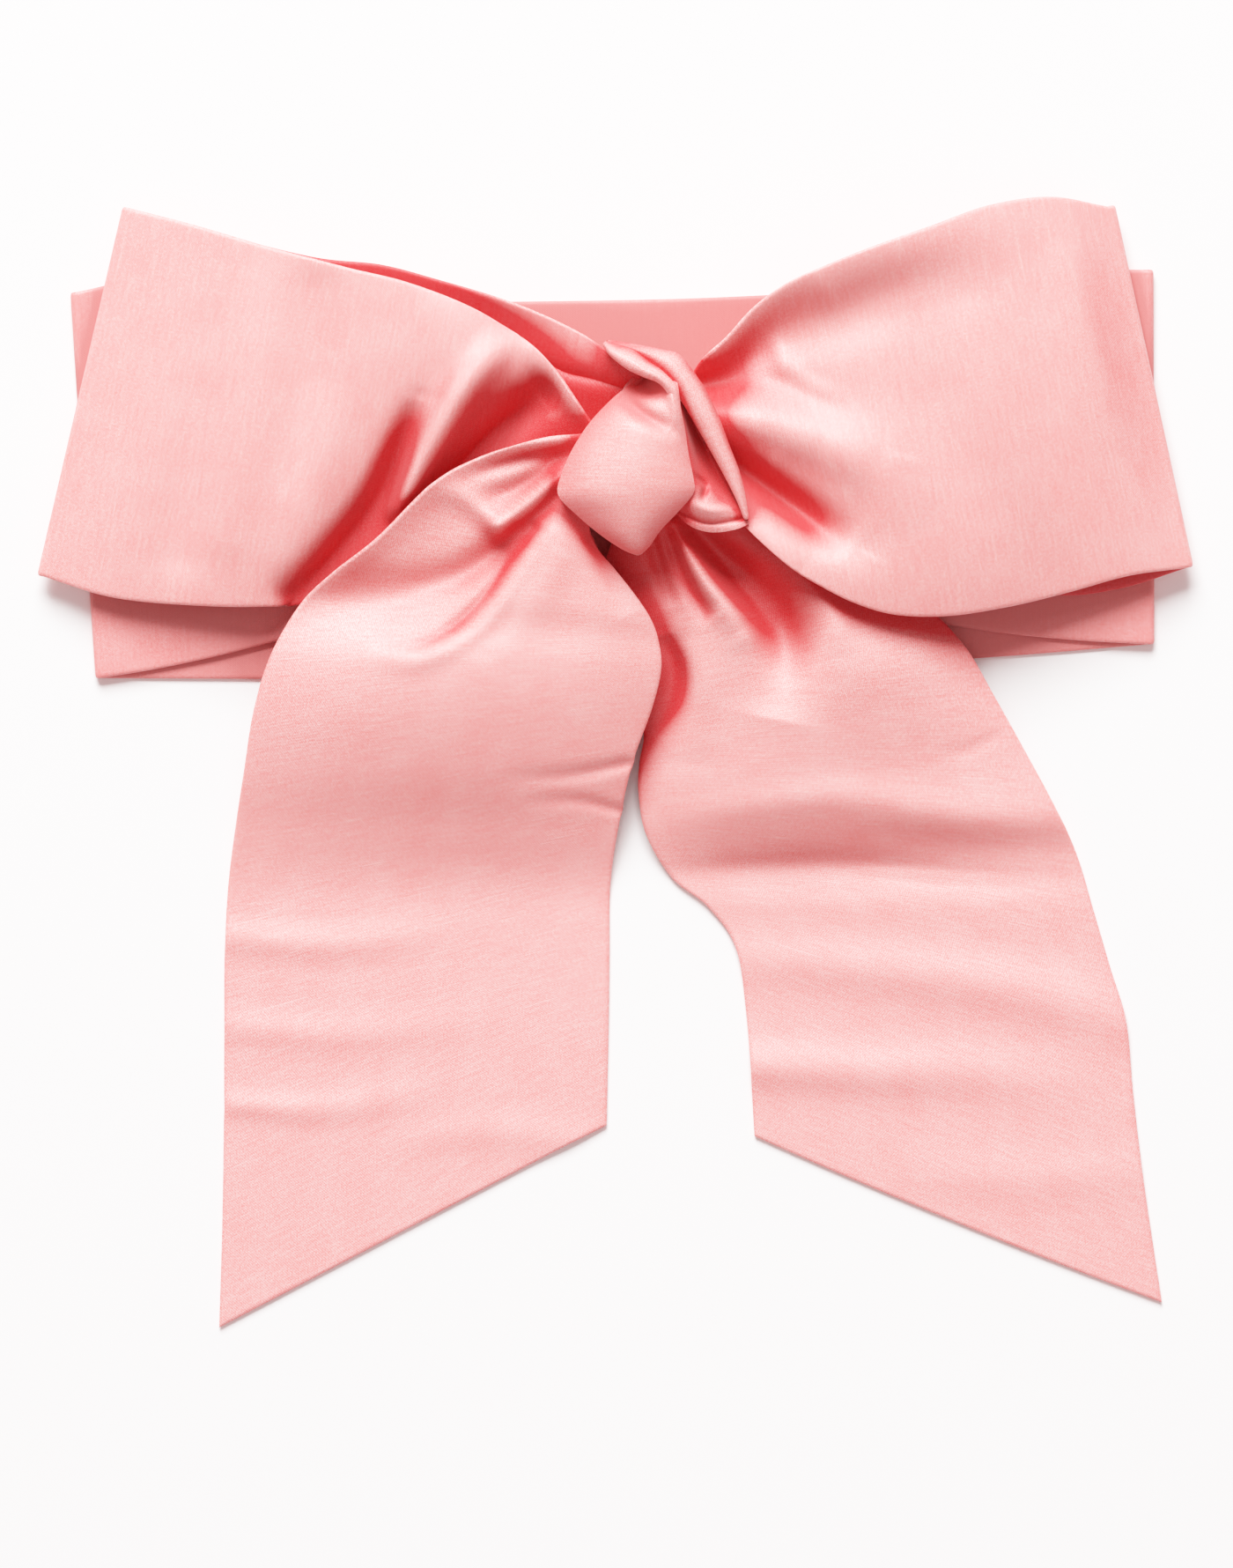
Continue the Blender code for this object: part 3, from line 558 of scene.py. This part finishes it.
# Right tail. The free end that comes out under the knot, bunched there into a few deep gathers,
# then spreads flat on the table to a slanted, turned end.
TAIL_RIGHT = (
    Row(6.0, 67.0, 34.0, 69.0, 14.0, 17.0, 16.5, 14.5),
    Row(0.0, 59.0, 36.0, 63.0, 12.0, 17.0, 16.5, 14.0),
    Row(-3.0, 50.0, 42.0, 58.0, 9.5, 16.5, 16.5, 13.0),
    Row(-2.0, 40.0, 52.0, 53.0, 8.5, 16.0, 16.5, 12.5),
    Row(1.0, 28.0, 68.0, 46.0, 8.0, 15.5, 16.5, 9.6),
    Row(4.5, 17.0, 80.0, 40.5, 7.5, 15.0, 16.8, 7.6),
    Row(7.2, 8.0, 90.0, 30.5, 7.2, 14.2, 16.4, 7.0),
    Row(6.0, 0.0, 98.0, 17.0, 6.4, 12.8, 13.4, 6.0),
    Row(5.8, -8.0, 105.5, 3.5, 5.5, 11.4, 10.2, 5.2),
    Row(7.8, -18.5, 113.0, -10.5, 4.0, 8.0, 7.6, 5.0),
    Row(14.5, -29.5, 119.0, -23.5, 1.8, 2.0, 2.2, 1.8),
    Row(23.8, -37.0, 123.4, -38.0, 1.6, 2.0, 2.0, 1.5),
    Row(31.0, -47.5, 127.5, -52.0, 1.2, 1.2, 1.2, 1.2),
    Row(33.8, -65.0, 131.8, -66.5, 1.2, 1.2, 1.2, 1.2),
    Row(35.2, -85.0, 133.6, -85.0, 1.2, 1.2, 1.2, 1.2),
    Row(36.4, -104.0, 135.8, -104.0, 1.2, 1.2, 1.2, 1.2),
    Row(37.8, -122.0, 138.4, -122.0, 1.2, 1.2, 1.2, 1.2),
    Row(39.4, -140.5, 141.0, -139.0, 1.2, 1.2, 1.2, 1.2),
)
TAIL_RIGHT_CUT = (14.58, 17.0)
TAIL_RIGHT_REST = (8.0, 8.0, 7.5, 5.0, 1.0, -5.0, FREE, FREE, FREE)
TAIL_RIGHT_FOLDS = (
    Fold(((11.2, 58.5), (12.2, 51.5), (13.5, 44.0)), (0.8, 1.4, 0.4), (2.2, 3.0)),
    Fold(((13.5, 58.5), (17.4, 48.5), (22.4, 40.2), (25.5, 37.0)), (-2.2, -2.6, 0.0), (1.8, 3.2)),
    Fold(((15.0, 61.0), (19.6, 53.0), (24.0, 46.0), (28.6, 40.5), (33.0, 35.0)),
         (2.2, 3.8, 1.2), (2.2, 4.6), -0.2),
    Fold(((21.0, 60.0), (27.5, 53.5), (34.0, 47.0), (40.0, 40.5), (44.0, 33.0), (44.5, 24.0),
          (42.0, 11.0)), (-5.0, -10.5, 0.0), (3.2, 9.4), -0.25),
    Fold(((40.0, 55.0), (49.0, 47.0), (56.0, 37.0), (57.0, 27.0)), (1.0, 1.8, 0.3), (3.0, 4.4)),
    Fold(((10.0, 57.0), (12.5, 48.0), (15.5, 40.0)), (-2.6, -3.6, -0.6), (2.2, 3.0)),
    Fold(((12.0, 33.0), (15.0, 25.0), (14.0, 17.0), (8.0, 8.0)), (-0.6, -4.2, -0.8), (2.8, 4.0)),
    Fold(((18.0, 32.0), (22.0, 18.0), (20.0, 0.0)), (0.0, 1.4, 0.0), (5.0, 7.0)),
    Fold(((14.0, -28.0), (36.0, -26.5), (60.0, -26.0), (91.0, -29.5), (117.0, -30.0)),
         (-0.2, -0.9, -0.3), (3.0, 4.0)),
    Fold(((12.0, -15.0), (34.0, -11.0), (60.0, -9.0), (92.0, -14.0), (116.0, -15.0)),
         (0.2, 1.4, 0.8), (5.0, 5.5)),
    Fold(((33.0, -50.0), (68.0, -53.0), (102.0, -58.0), (130.0, -66.0)),
         (0.9, 1.8, 1.0), (6.5, 7.5)),
    Fold(((36.0, -78.0), (68.0, -79.5), (94.0, -80.0), (120.0, -84.0)),
         (1.8, 1.5, 0.2), (5.5, 7.0)),
    Fold(((70.0, -104.0), (98.0, -107.0), (136.0, -106.0)), (0.0, 0.7, 0.4), (6.0, 6.0)),
    Fold(((98.0, 7.0), (91.0, 3.5), (82.0, 2.0)), (-0.3, -0.35, 0.0), (1.6, 2.4)),
)

right_tail = shell(
    "right_tail",
    cloth(TAIL_RIGHT, TAIL_RIGHT_FOLDS, (300, 110), TAIL_RIGHT_CUT, TAIL_RIGHT_REST),
    silk("right_tail_silk"),
)
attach(right_tail, "root")
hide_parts("tail_right")

# Left tail. The other free end, which crosses over the right one at the knot, turns down in a
# rounded fold and lies flat to its slanted end.
TAIL_LEFT = (
    Row(-7.0, 84.4, -2.0, 69.0, 24.5, 23.0, 22.5, 22.0),
    Row(-19.0, 83.3, -6.5, 60.8, 23.5, 23.0, 22.0, 21.5),
    Row(-33.8, 78.5, -4.9, 55.6, 21.0, 20.5, 21.0, 20.5),
    Row(-46.3, 71.7, 0.1, 49.7, 21.5, 18.0, 21.0, 20.0),
    Row(-61.0, 57.4, 5.0, 43.5, 19.4, 16.2, 20.5, 20.0),
    Row(-73.0, 48.0, 9.0, 37.5, 17.2, 15.4, 20.4, 19.5),
    Row(-81.5, 40.0, 11.2, 31.5, 13.0, 15.5, 20.0, 18.5),
    Row(-88.8, 27.6, 11.9, 24.0, 13.0, 19.2, 21.2, 18.0),
    Row(-93.1, 13.5, 9.5, 13.8, 11.8, 18.0, 19.6, 16.0),
    Row(-95.6, -1.7, 4.4, -0.5, 8.6, 13.2, 14.8, 12.4),
    Row(-98.1, -17.6, 0.8, -17.0, 4.0, 6.0, 7.0, 6.2),
    Row(-99.9, -32.0, -1.3, -32.0, 1.4, 1.6, 1.8, 1.6),
    Row(-100.8, -49.0, -1.5, -49.0, 1.2, 1.2, 1.2, 1.2),
    Row(-100.9, -67.0, -1.7, -67.0, 1.2, 1.2, 1.2, 1.2),
    Row(-101.0, -92.0, -2.2, -92.0, 1.2, 1.2, 1.2, 1.2),
    Row(-101.4, -118.5, -2.6, -118.5, 1.2, 1.2, 1.2, 1.2),
    Row(-102.2, -145.5, -3.0, -145.5, 1.2, 1.2, 1.2, 1.2),
)
TAIL_LEFT_CUT = (16.0, 14.05)
TAIL_LEFT_FOLDS = (
    Fold(((-77.0, 46.0), (-58.0, 43.5), (-42.0, 47.0), (-30.5, 54.0), (-23.5, 60.5), (-14.5, 69.0)),
         (-1.2, -3.6, -1.8), (6.5, 2.4), 0.2),
    Fold(((-21.0, 60.2), (-27.2, 52.0), (-32.6, 44.2), (-38.0, 38.0), (-44.7, 33.0), (-52.4, 29.9),
          (-64.0, 32.0)), (-1.2, -1.1, 0.0), (1.6, 1.6)),
    Fold(((-17.5, 59.0), (-24.2, 49.4), (-30.0, 40.2), (-36.0, 34.0), (-44.0, 29.0), (-52.0, 26.4),
          (-62.0, 27.2)), (0.6, 1.7, 0.4), (2.6, 3.6)),
    Fold(((-47.0, 70.8), (-38.0, 67.6), (-29.7, 60.8)), (0.3, 1.5, 2.4), (3.2, 2.6)),
    Fold(((-29.7, 60.8), (-22.4, 65.6), (-14.5, 72.6)), (2.4, 2.4, 1.6), (2.6, 2.2)),
    Fold(((-33.0, 68.0), (-24.0, 71.6), (-15.0, 77.5)), (-0.6, -2.0, -1.2), (2.6, 2.2)),
    Fold(((-38.0, 73.6), (-26.0, 77.4), (-12.0, 79.2)), (-0.6, -2.0, -1.6), (2.4, 2.4)),
    Fold(((-34.0, 78.4), (-22.0, 81.6), (-9.0, 83.2)), (0.3, 1.4, 0.8), (1.8, 1.5)),
    Fold(((-12.0, 63.0), (-19.0, 47.0), (-33.0, 28.0)), (1.0, 2.4, 0.5), (5.0, 9.0)),
    Fold(((-6.0, 56.5), (-2.0, 49.0), (3.5, 38.0)), (-1.4, -1.6, 0.0), (2.2, 4.0)),
    Fold(((3.0, 0.0), (-12.0, -3.0), (-30.0, -4.0)), (-1.0, -0.7, 0.0), (1.6, 2.6)),
    Fold(((1.0, -12.0), (-10.0, -9.5), (-24.0, -10.0)), (-0.8, -0.6, 0.0), (1.4, 2.2)),
    Fold(((-99.0, -45.0), (-72.0, -46.5), (-40.0, -43.0)), (0.9, 0.9, 0.0), (4.0, 5.0)),
    Fold(((-99.0, -68.0), (-70.0, -70.0), (-28.0, -66.0)), (0.7, 0.7, 0.0), (4.0, 5.0)),
    Fold(((-98.0, -88.0), (-74.0, -89.0), (-44.0, -84.0)), (0.9, 0.8, 0.0), (3.0, 4.5)),
    Fold(((-60.0, -99.0), (-34.0, -95.0), (-6.0, -98.0)), (0.0, 0.6, 0.5), (4.0, 5.0)),
)

left_tail = shell(
    "left_tail",
    cloth(TAIL_LEFT, TAIL_LEFT_FOLDS, (300, 110), TAIL_LEFT_CUT),
    silk("left_tail_silk"),
)
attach(left_tail, "root")
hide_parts("tail_left")

# Knot. The strip passes once round all the layers: a smooth wrap over the front with its upper
# edge rolled into a lip, and the slack of its right side in two pleats beside it.
TUCK_STEPS = 8
MOST_DRAWN_IN = 0.3


def tucked(grid, low, inset):
    """A grid with its two long sides turned down: from each border point the cloth falls to the
    height low, given at the first row, a third on and at the last row, and draws in by inset times
    the square of the way down, but never past a share of the strip's width."""
    way = np.linspace(0, 1, TUCK_STEPS)[None, 1:, None]
    low = np.interp(np.linspace(0, 1, len(grid)), (0, 1 / 3, 1), low)[:, None]
    sides = []
    for border, other in ((grid[:, 0], grid[:, -1]), (grid[:, -1], grid[:, 0])):
        inward = (other - border) * np.array([1, 1, 0])
        inward *= np.minimum(inset / np.linalg.norm(inward, axis=1, keepdims=True), MOST_DRAWN_IN)
        side = border[:, None] + inward[:, None] * way**2
        side[..., 2] += (np.minimum(low, border[:, 2:]) - border[:, 2:]) * way[..., 0]
        sides.append(side)
    return np.concatenate([sides[0][:, ::-1], grid, sides[1]], axis=1)


# The wrap: one turn of the strip, pulled tight and smooth over the crossing, with a dent where it
# goes in under the lip. Its sides turn down to the layers that it holds.
# The wrap's painted fold shade is a paler red than elsewhere.
KNOT_PAINTED_SHADE_PINK = (0.70, 0.09, 0.09, 1)
KNOT_WRAP = (
    Row(7.0, 101.0, 14.0, 101.5, 23.0, 23.0, 24.5, 27.0),
    Row(5.4, 98.4, 15.8, 97.0, 25.5, 25.0, 29.5, 32.6),
    Row(-0.8, 93.1, 16.7, 90.5, 27.0, 31.5, 33.6, 32.6),
    Row(-6.6, 86.9, 17.7, 85.6, 28.0, 34.2, 35.6, 31.6),
    Row(-11.0, 80.1, 18.7, 78.8, 27.8, 34.8, 36.3, 31.0),
    Row(-13.7, 74.0, 19.9, 72.8, 27.4, 34.8, 36.3, 30.6),
    Row(-14.6, 68.5, 20.0, 69.0, 27.0, 34.2, 35.7, 30.0),
    Row(-9.7, 63.2, 16.3, 64.4, 27.0, 32.8, 34.1, 29.6),
    Row(-3.7, 58.2, 11.6, 59.4, 26.6, 31.0, 31.6, 28.6),
    Row(1.8, 54.6, 8.8, 55.4, 25.6, 28.4, 28.6, 26.6),
    Row(5.9, 53.0, 6.3, 53.1, 24.0, 24.6, 24.6, 24.2),
)
KNOT_FOLDS = (
    Fold(((1.5, 93.4), (6.6, 89.0), (13.8, 84.6)), (-1.4, -3.4, -0.8), (2.6, 2.0), 0.2),
    Fold(((6.6, 98.2), (8.4, 95.8), (9.4, 93.4)), (-4.5, -3.4, -0.5), (3.4, 2.4)),
    Fold(((13.4, 97.0), (15.2, 90.5), (16.6, 83.0)), (1.2, 1.8, 0.2), (1.2, 1.6)),
    Fold(((-8.0, 84.0), (-6.0, 72.0), (-1.0, 60.0)), (0.0, 0.5, 0.0), (5.0, 5.0)),
)
knot_wrap = shell(
    "knot_wrap_silk",
    tucked(cloth(KNOT_WRAP, KNOT_FOLDS, (130, 90)), (11.0, 11.0, 12.0), 3.0),
    silk("knot_silk", painted_shade_pink=KNOT_PAINTED_SHADE_PINK),
)
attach(knot_wrap, "root")
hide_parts("knot_wrap", "knot_core")

# The lip: the turn's upper edge, folded over itself, which runs from the left end of the top down
# to the right side of the wrap.
KNOT_LIP = (
    Row(-3.4, 107.0, -2.8, 107.7, 27.5, 28.0, 28.0, 27.5),
    Row(-1.5, 104.0, -0.3, 107.1, 30.6, 31.4, 30.4, 28.6),
    Row(2.6, 100.6, 4.3, 105.5, 33.0, 34.2, 33.2, 30.8),
    Row(6.7, 98.5, 8.4, 102.5, 34.0, 35.4, 34.6, 32.4),
    Row(11.0, 96.7, 12.2, 99.8, 34.4, 35.6, 35.0, 33.4),
    Row(13.6, 93.6, 15.6, 95.8, 34.0, 34.8, 34.8, 33.8),
    Row(15.0, 89.6, 16.7, 90.6, 33.2, 33.6, 33.6, 32.8),
)
knot_lip = shell(
    "knot_lip_silk",
    tucked(cloth(KNOT_LIP, (), (60, 30)), (24.0, 20.0, 25.0), 1.5),
    silk("lip_silk"),
)
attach(knot_lip, "root")
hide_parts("knot_lip")

# The outer pleat: the slack of the turn's right side, folded into a narrow roll that runs down to
# the right loop.
KNOT_PLEAT_OUTER = (
    Row(-2.9, 107.0, -1.8, 108.2, 27.0, 27.8, 27.8, 27.0),
    Row(2.2, 105.0, 4.6, 107.0, 29.0, 30.2, 30.2, 29.0),
    Row(7.6, 101.6, 12.0, 105.6, 30.2, 31.9, 31.9, 29.6),
    Row(11.4, 98.8, 16.3, 104.3, 30.8, 32.7, 32.4, 29.6),
    Row(14.3, 95.8, 19.8, 100.2, 31.2, 32.8, 32.4, 29.4),
    Row(16.9, 92.2, 23.4, 94.8, 30.8, 32.4, 32.0, 29.0),
    Row(20.3, 86.6, 26.5, 88.3, 30.0, 31.8, 31.4, 28.6),
    Row(24.4, 79.4, 29.2, 81.1, 29.0, 30.6, 30.2, 27.8),
    Row(27.8, 73.3, 31.8, 74.3, 28.0, 29.2, 28.8, 27.0),
    Row(30.9, 67.2, 33.4, 67.8, 26.8, 27.8, 27.4, 26.2),
    Row(33.0, 62.0, 34.2, 62.4, 25.6, 26.2, 26.2, 25.4),
)
outer_pleat = shell(
    "outer_pleat_silk",
    tucked(cloth(KNOT_PLEAT_OUTER, (), (90, 30)), (22.0, 7.0, 18.0), 1.5),
    silk("outer_pleat_silk"),
)
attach(outer_pleat, "root")
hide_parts("knot_pleat_outer")

# The inner pleat: what is left of the slack, gathered between the wrap and the outer pleat and
# creased along its lower end.
KNOT_PLEAT_INNER = (
    Row(15.4, 93.0, 15.6, 63.8, 28.0, 29.2, 28.2, 24.0),
    Row(16.3, 92.6, 18.5, 61.0, 28.6, 30.4, 29.8, 25.0),
    Row(17.0, 92.2, 22.4, 59.3, 27.6, 28.6, 29.2, 25.2),
    Row(17.6, 91.6, 26.5, 59.0, 25.6, 22.6, 26.6, 25.2),
    Row(18.4, 90.8, 31.0, 59.8, 24.0, 18.6, 23.4, 25.0),
    Row(19.2, 89.6, 34.3, 61.2, 23.4, 18.0, 21.6, 24.4),
)
PLEAT_CREASES = (
    Fold(((14.8, 65.2), (20.3, 62.2), (24.4, 61.3), (29.0, 61.8), (34.0, 63.0)),
         (-1.6, -1.6, -1.6), (0.5, 0.5), 0.0, 1.0),
    Fold(((20.0, 73.5), (23.0, 70.8), (22.3, 67.6)), (-0.6, -1.6, -0.8), (0.9, 0.9)),
    Fold(((18.5, 66.8), (24.0, 64.6), (31.0, 65.4)), (0.2, 1.0, 0.2), (1.4, 1.4)),
)
inner_pleat = shell(
    "inner_pleat_silk",
    tucked(cloth(KNOT_PLEAT_INNER, PLEAT_CREASES, (60, 90)), (13.0, 14.0, 16.0), 3.0),
    silk("inner_pleat_silk"),
)
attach(inner_pleat, "root")
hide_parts("knot_pleat_inner")

# Painted shade among the folds. Each point keeps how much of its sky the cloth around it hides, and
# there the silk's colour is painted a deeper red: painted shade that stands in for the shade and the
# red light that silk throws on silk between folds.
CELL = 1.5
MAP_MARGIN = 30
SKY_DIRECTIONS = 16
SKY_DISTANCES = (1.6, 3.0, 5.0, 8.0, 12.0, 17.0, 24.0)
LEAST_RISE = 0.3
LOOKING_DOWN = -0.1
LOOKING_UP = 0.3
EVENING_ROUNDS = 6


def points_of(piece):
    """The piece's points as an array, in millimetres."""
    flat = np.empty(len(piece.data.vertices) * 3)
    piece.data.vertices.foreach_get("co", flat)
    return flat.reshape(-1, 3) / MM


def facing_up(piece):
    """Share of each point that faces the sky: 0 where its normal's rise is that of looking down, 1
    from that of looking up, and even steps between them."""
    flat = np.empty(len(piece.data.vertices) * 3)
    piece.data.vertices.foreach_get("normal", flat)
    return np.clip((flat[2::3] - LOOKING_DOWN) / (LOOKING_UP - LOOKING_DOWN), 0, 1)


def hidden_sky(points, heights, origin):
    """Share of the sky that is hidden at each point: over all directions, the mean of
    s^2 / (1 + s^2), with s the steepest rise from the point to the cloth around it."""
    total = np.zeros(len(points))
    for turn in np.arange(SKY_DIRECTIONS) * 2 * np.pi / SKY_DIRECTIONS:
        steepest = np.zeros(len(points))
        for distance in SKY_DISTANCES:
            x = points[:, 0] + distance * np.cos(turn)
            y = points[:, 1] + distance * np.sin(turn)
            column = np.clip(((x - origin[0]) / CELL).astype(int), 0, heights.shape[1] - 1)
            row = np.clip(((y - origin[1]) / CELL).astype(int), 0, heights.shape[0] - 1)
            rise = heights[row, column] - points[:, 2] - LEAST_RISE
            steepest = np.maximum(steepest, rise / distance)
        total += steepest**2 / (1 + steepest**2)
    return total / SKY_DIRECTIONS


def evened(piece, values):
    """Values drawn several times halfway to the mean of their neighbours along the piece's edges."""
    ends = np.empty(len(piece.data.edges) * 2, np.int32)
    piece.data.edges.foreach_get("vertices", ends)
    one, other = ends.reshape(-1, 2).T
    neighbours = np.bincount(ends, minlength=len(values))
    for _ in range(EVENING_ROUNDS):
        around = np.bincount(one, values[other], len(values))
        around += np.bincount(other, values[one], len(values))
        values = (values + around / neighbours) / 2
    return values


silk_pieces = [
    waist_band, left_loop, right_loop, right_tail, left_tail,
    knot_wrap, knot_lip, outer_pleat, inner_pleat,
]
every_point = np.concatenate([points_of(piece) for piece in silk_pieces])
map_origin = every_point[:, :2].min(0) - MAP_MARGIN
map_size = ((every_point[:, :2].max(0) + MAP_MARGIN - map_origin) / CELL).astype(int) + 1
cloth_height = np.zeros((map_size[1], map_size[0]))
map_column, map_row = ((every_point[:, :2] - map_origin) / CELL).astype(int).T
np.maximum.at(cloth_height, (map_row, map_column), every_point[:, 2])
for piece in silk_pieces:
    painted_shade_attribute = piece.data.attributes.new("painted_shade_share", "FLOAT", "POINT")
    hidden = hidden_sky(points_of(piece), cloth_height, map_origin) * facing_up(piece)
    painted_shade_attribute.data.foreach_set("value", evened(piece, hidden))

# Table, light and camera. A white table top under one large soft light from the top of the
# picture, a weaker one from the front, and a camera straight above.
TABLE_REACH = 1.6
TABLE_Z = -0.0002
TABLE_WHITE = (0.95, 0.98, 0.98, 1)
table_mesh = bpy.data.meshes.new("table_top")
table_corners = ((-1, -1), (1, -1), (1, 1), (-1, 1))
table_mesh.from_pydata(
    [(x * TABLE_REACH, y * TABLE_REACH, TABLE_Z) for x, y in table_corners],
    [], [(0, 1, 2, 3)],
)
table_top = bpy.data.objects.new("table_top", table_mesh)
bpy.context.scene.collection.objects.link(table_top)
table_white = bpy.data.materials.new("table_white")
table_white.use_nodes = True
table_shader = table_white.node_tree.nodes["Principled BSDF"]
table_shader.inputs["Base Color"].default_value = TABLE_WHITE
table_shader.inputs["Roughness"].default_value = 0.8
table_mesh.materials.append(table_white)

CENTRE = (0.0003, -0.0053, 0.0)
CAMERA_HEIGHT = 2.6
FRAME_HEIGHT = 0.4045


def soft_light(name, place, size, power):
    """A square lamp at a place, turned to the middle of the sash: it looks back along the line from
    there to its place."""
    lamp = bpy.data.lights.new(name, "AREA")
    lamp.size, lamp.energy = size, power
    light = bpy.data.objects.new(name, lamp)
    bpy.context.scene.collection.objects.link(light)
    light.location = place
    light.rotation_euler = (Vector(place) - Vector(CENTRE)).to_track_quat("Z", "Y").to_euler()


soft_light("window", (-0.45, 2.75, 2.25), 2.0, 455)
soft_light("fill", (0.2, -0.6, 1.6), 1.2, 4)
# The room's own light is a little pink, as the silk throws its colour back into the shade.
ROOM_COLOUR = (1.0, 0.66, 0.65, 1)
ROOM_STRENGTH = 0.66
world = bpy.data.worlds.new("studio")
world.use_nodes = True
room_light = world.node_tree.nodes["Background"]
room_light.inputs["Color"].default_value = ROOM_COLOUR
room_light.inputs["Strength"].default_value = ROOM_STRENGTH
bpy.context.scene.world = world

# The brightest light is rolled off as film does: 1.05 * (1 - exp(-light)), drawn as a curve
# through a few lights.
FILM_TOP = 1.05
BRIGHTEST = 4.0
CURVE_LIGHTS = (0.1, 0.25, 0.5, 0.8, 1.2, 1.8, 2.6)
view = bpy.context.scene.view_settings
view.view_transform = "Standard"
view.use_curve_mapping = True
view.curve_mapping.white_level = (BRIGHTEST, BRIGHTEST, BRIGHTEST)
for light in CURVE_LIGHTS:
    shown = min(FILM_TOP * (1 - np.exp(-light)), 1.0)
    view.curve_mapping.curves[3].points.new(light / BRIGHTEST, shown)
view.curve_mapping.update()

camera = bpy.data.cameras.new("camera")
camera.sensor_fit = "VERTICAL"
camera.angle = 2 * np.arctan(FRAME_HEIGHT / 2 / CAMERA_HEIGHT)
camera_stand = bpy.data.objects.new("camera", camera)
bpy.context.scene.collection.objects.link(camera_stand)
camera_stand.location = (CENTRE[0], CENTRE[1], CAMERA_HEIGHT)
bpy.context.scene.camera = camera_stand
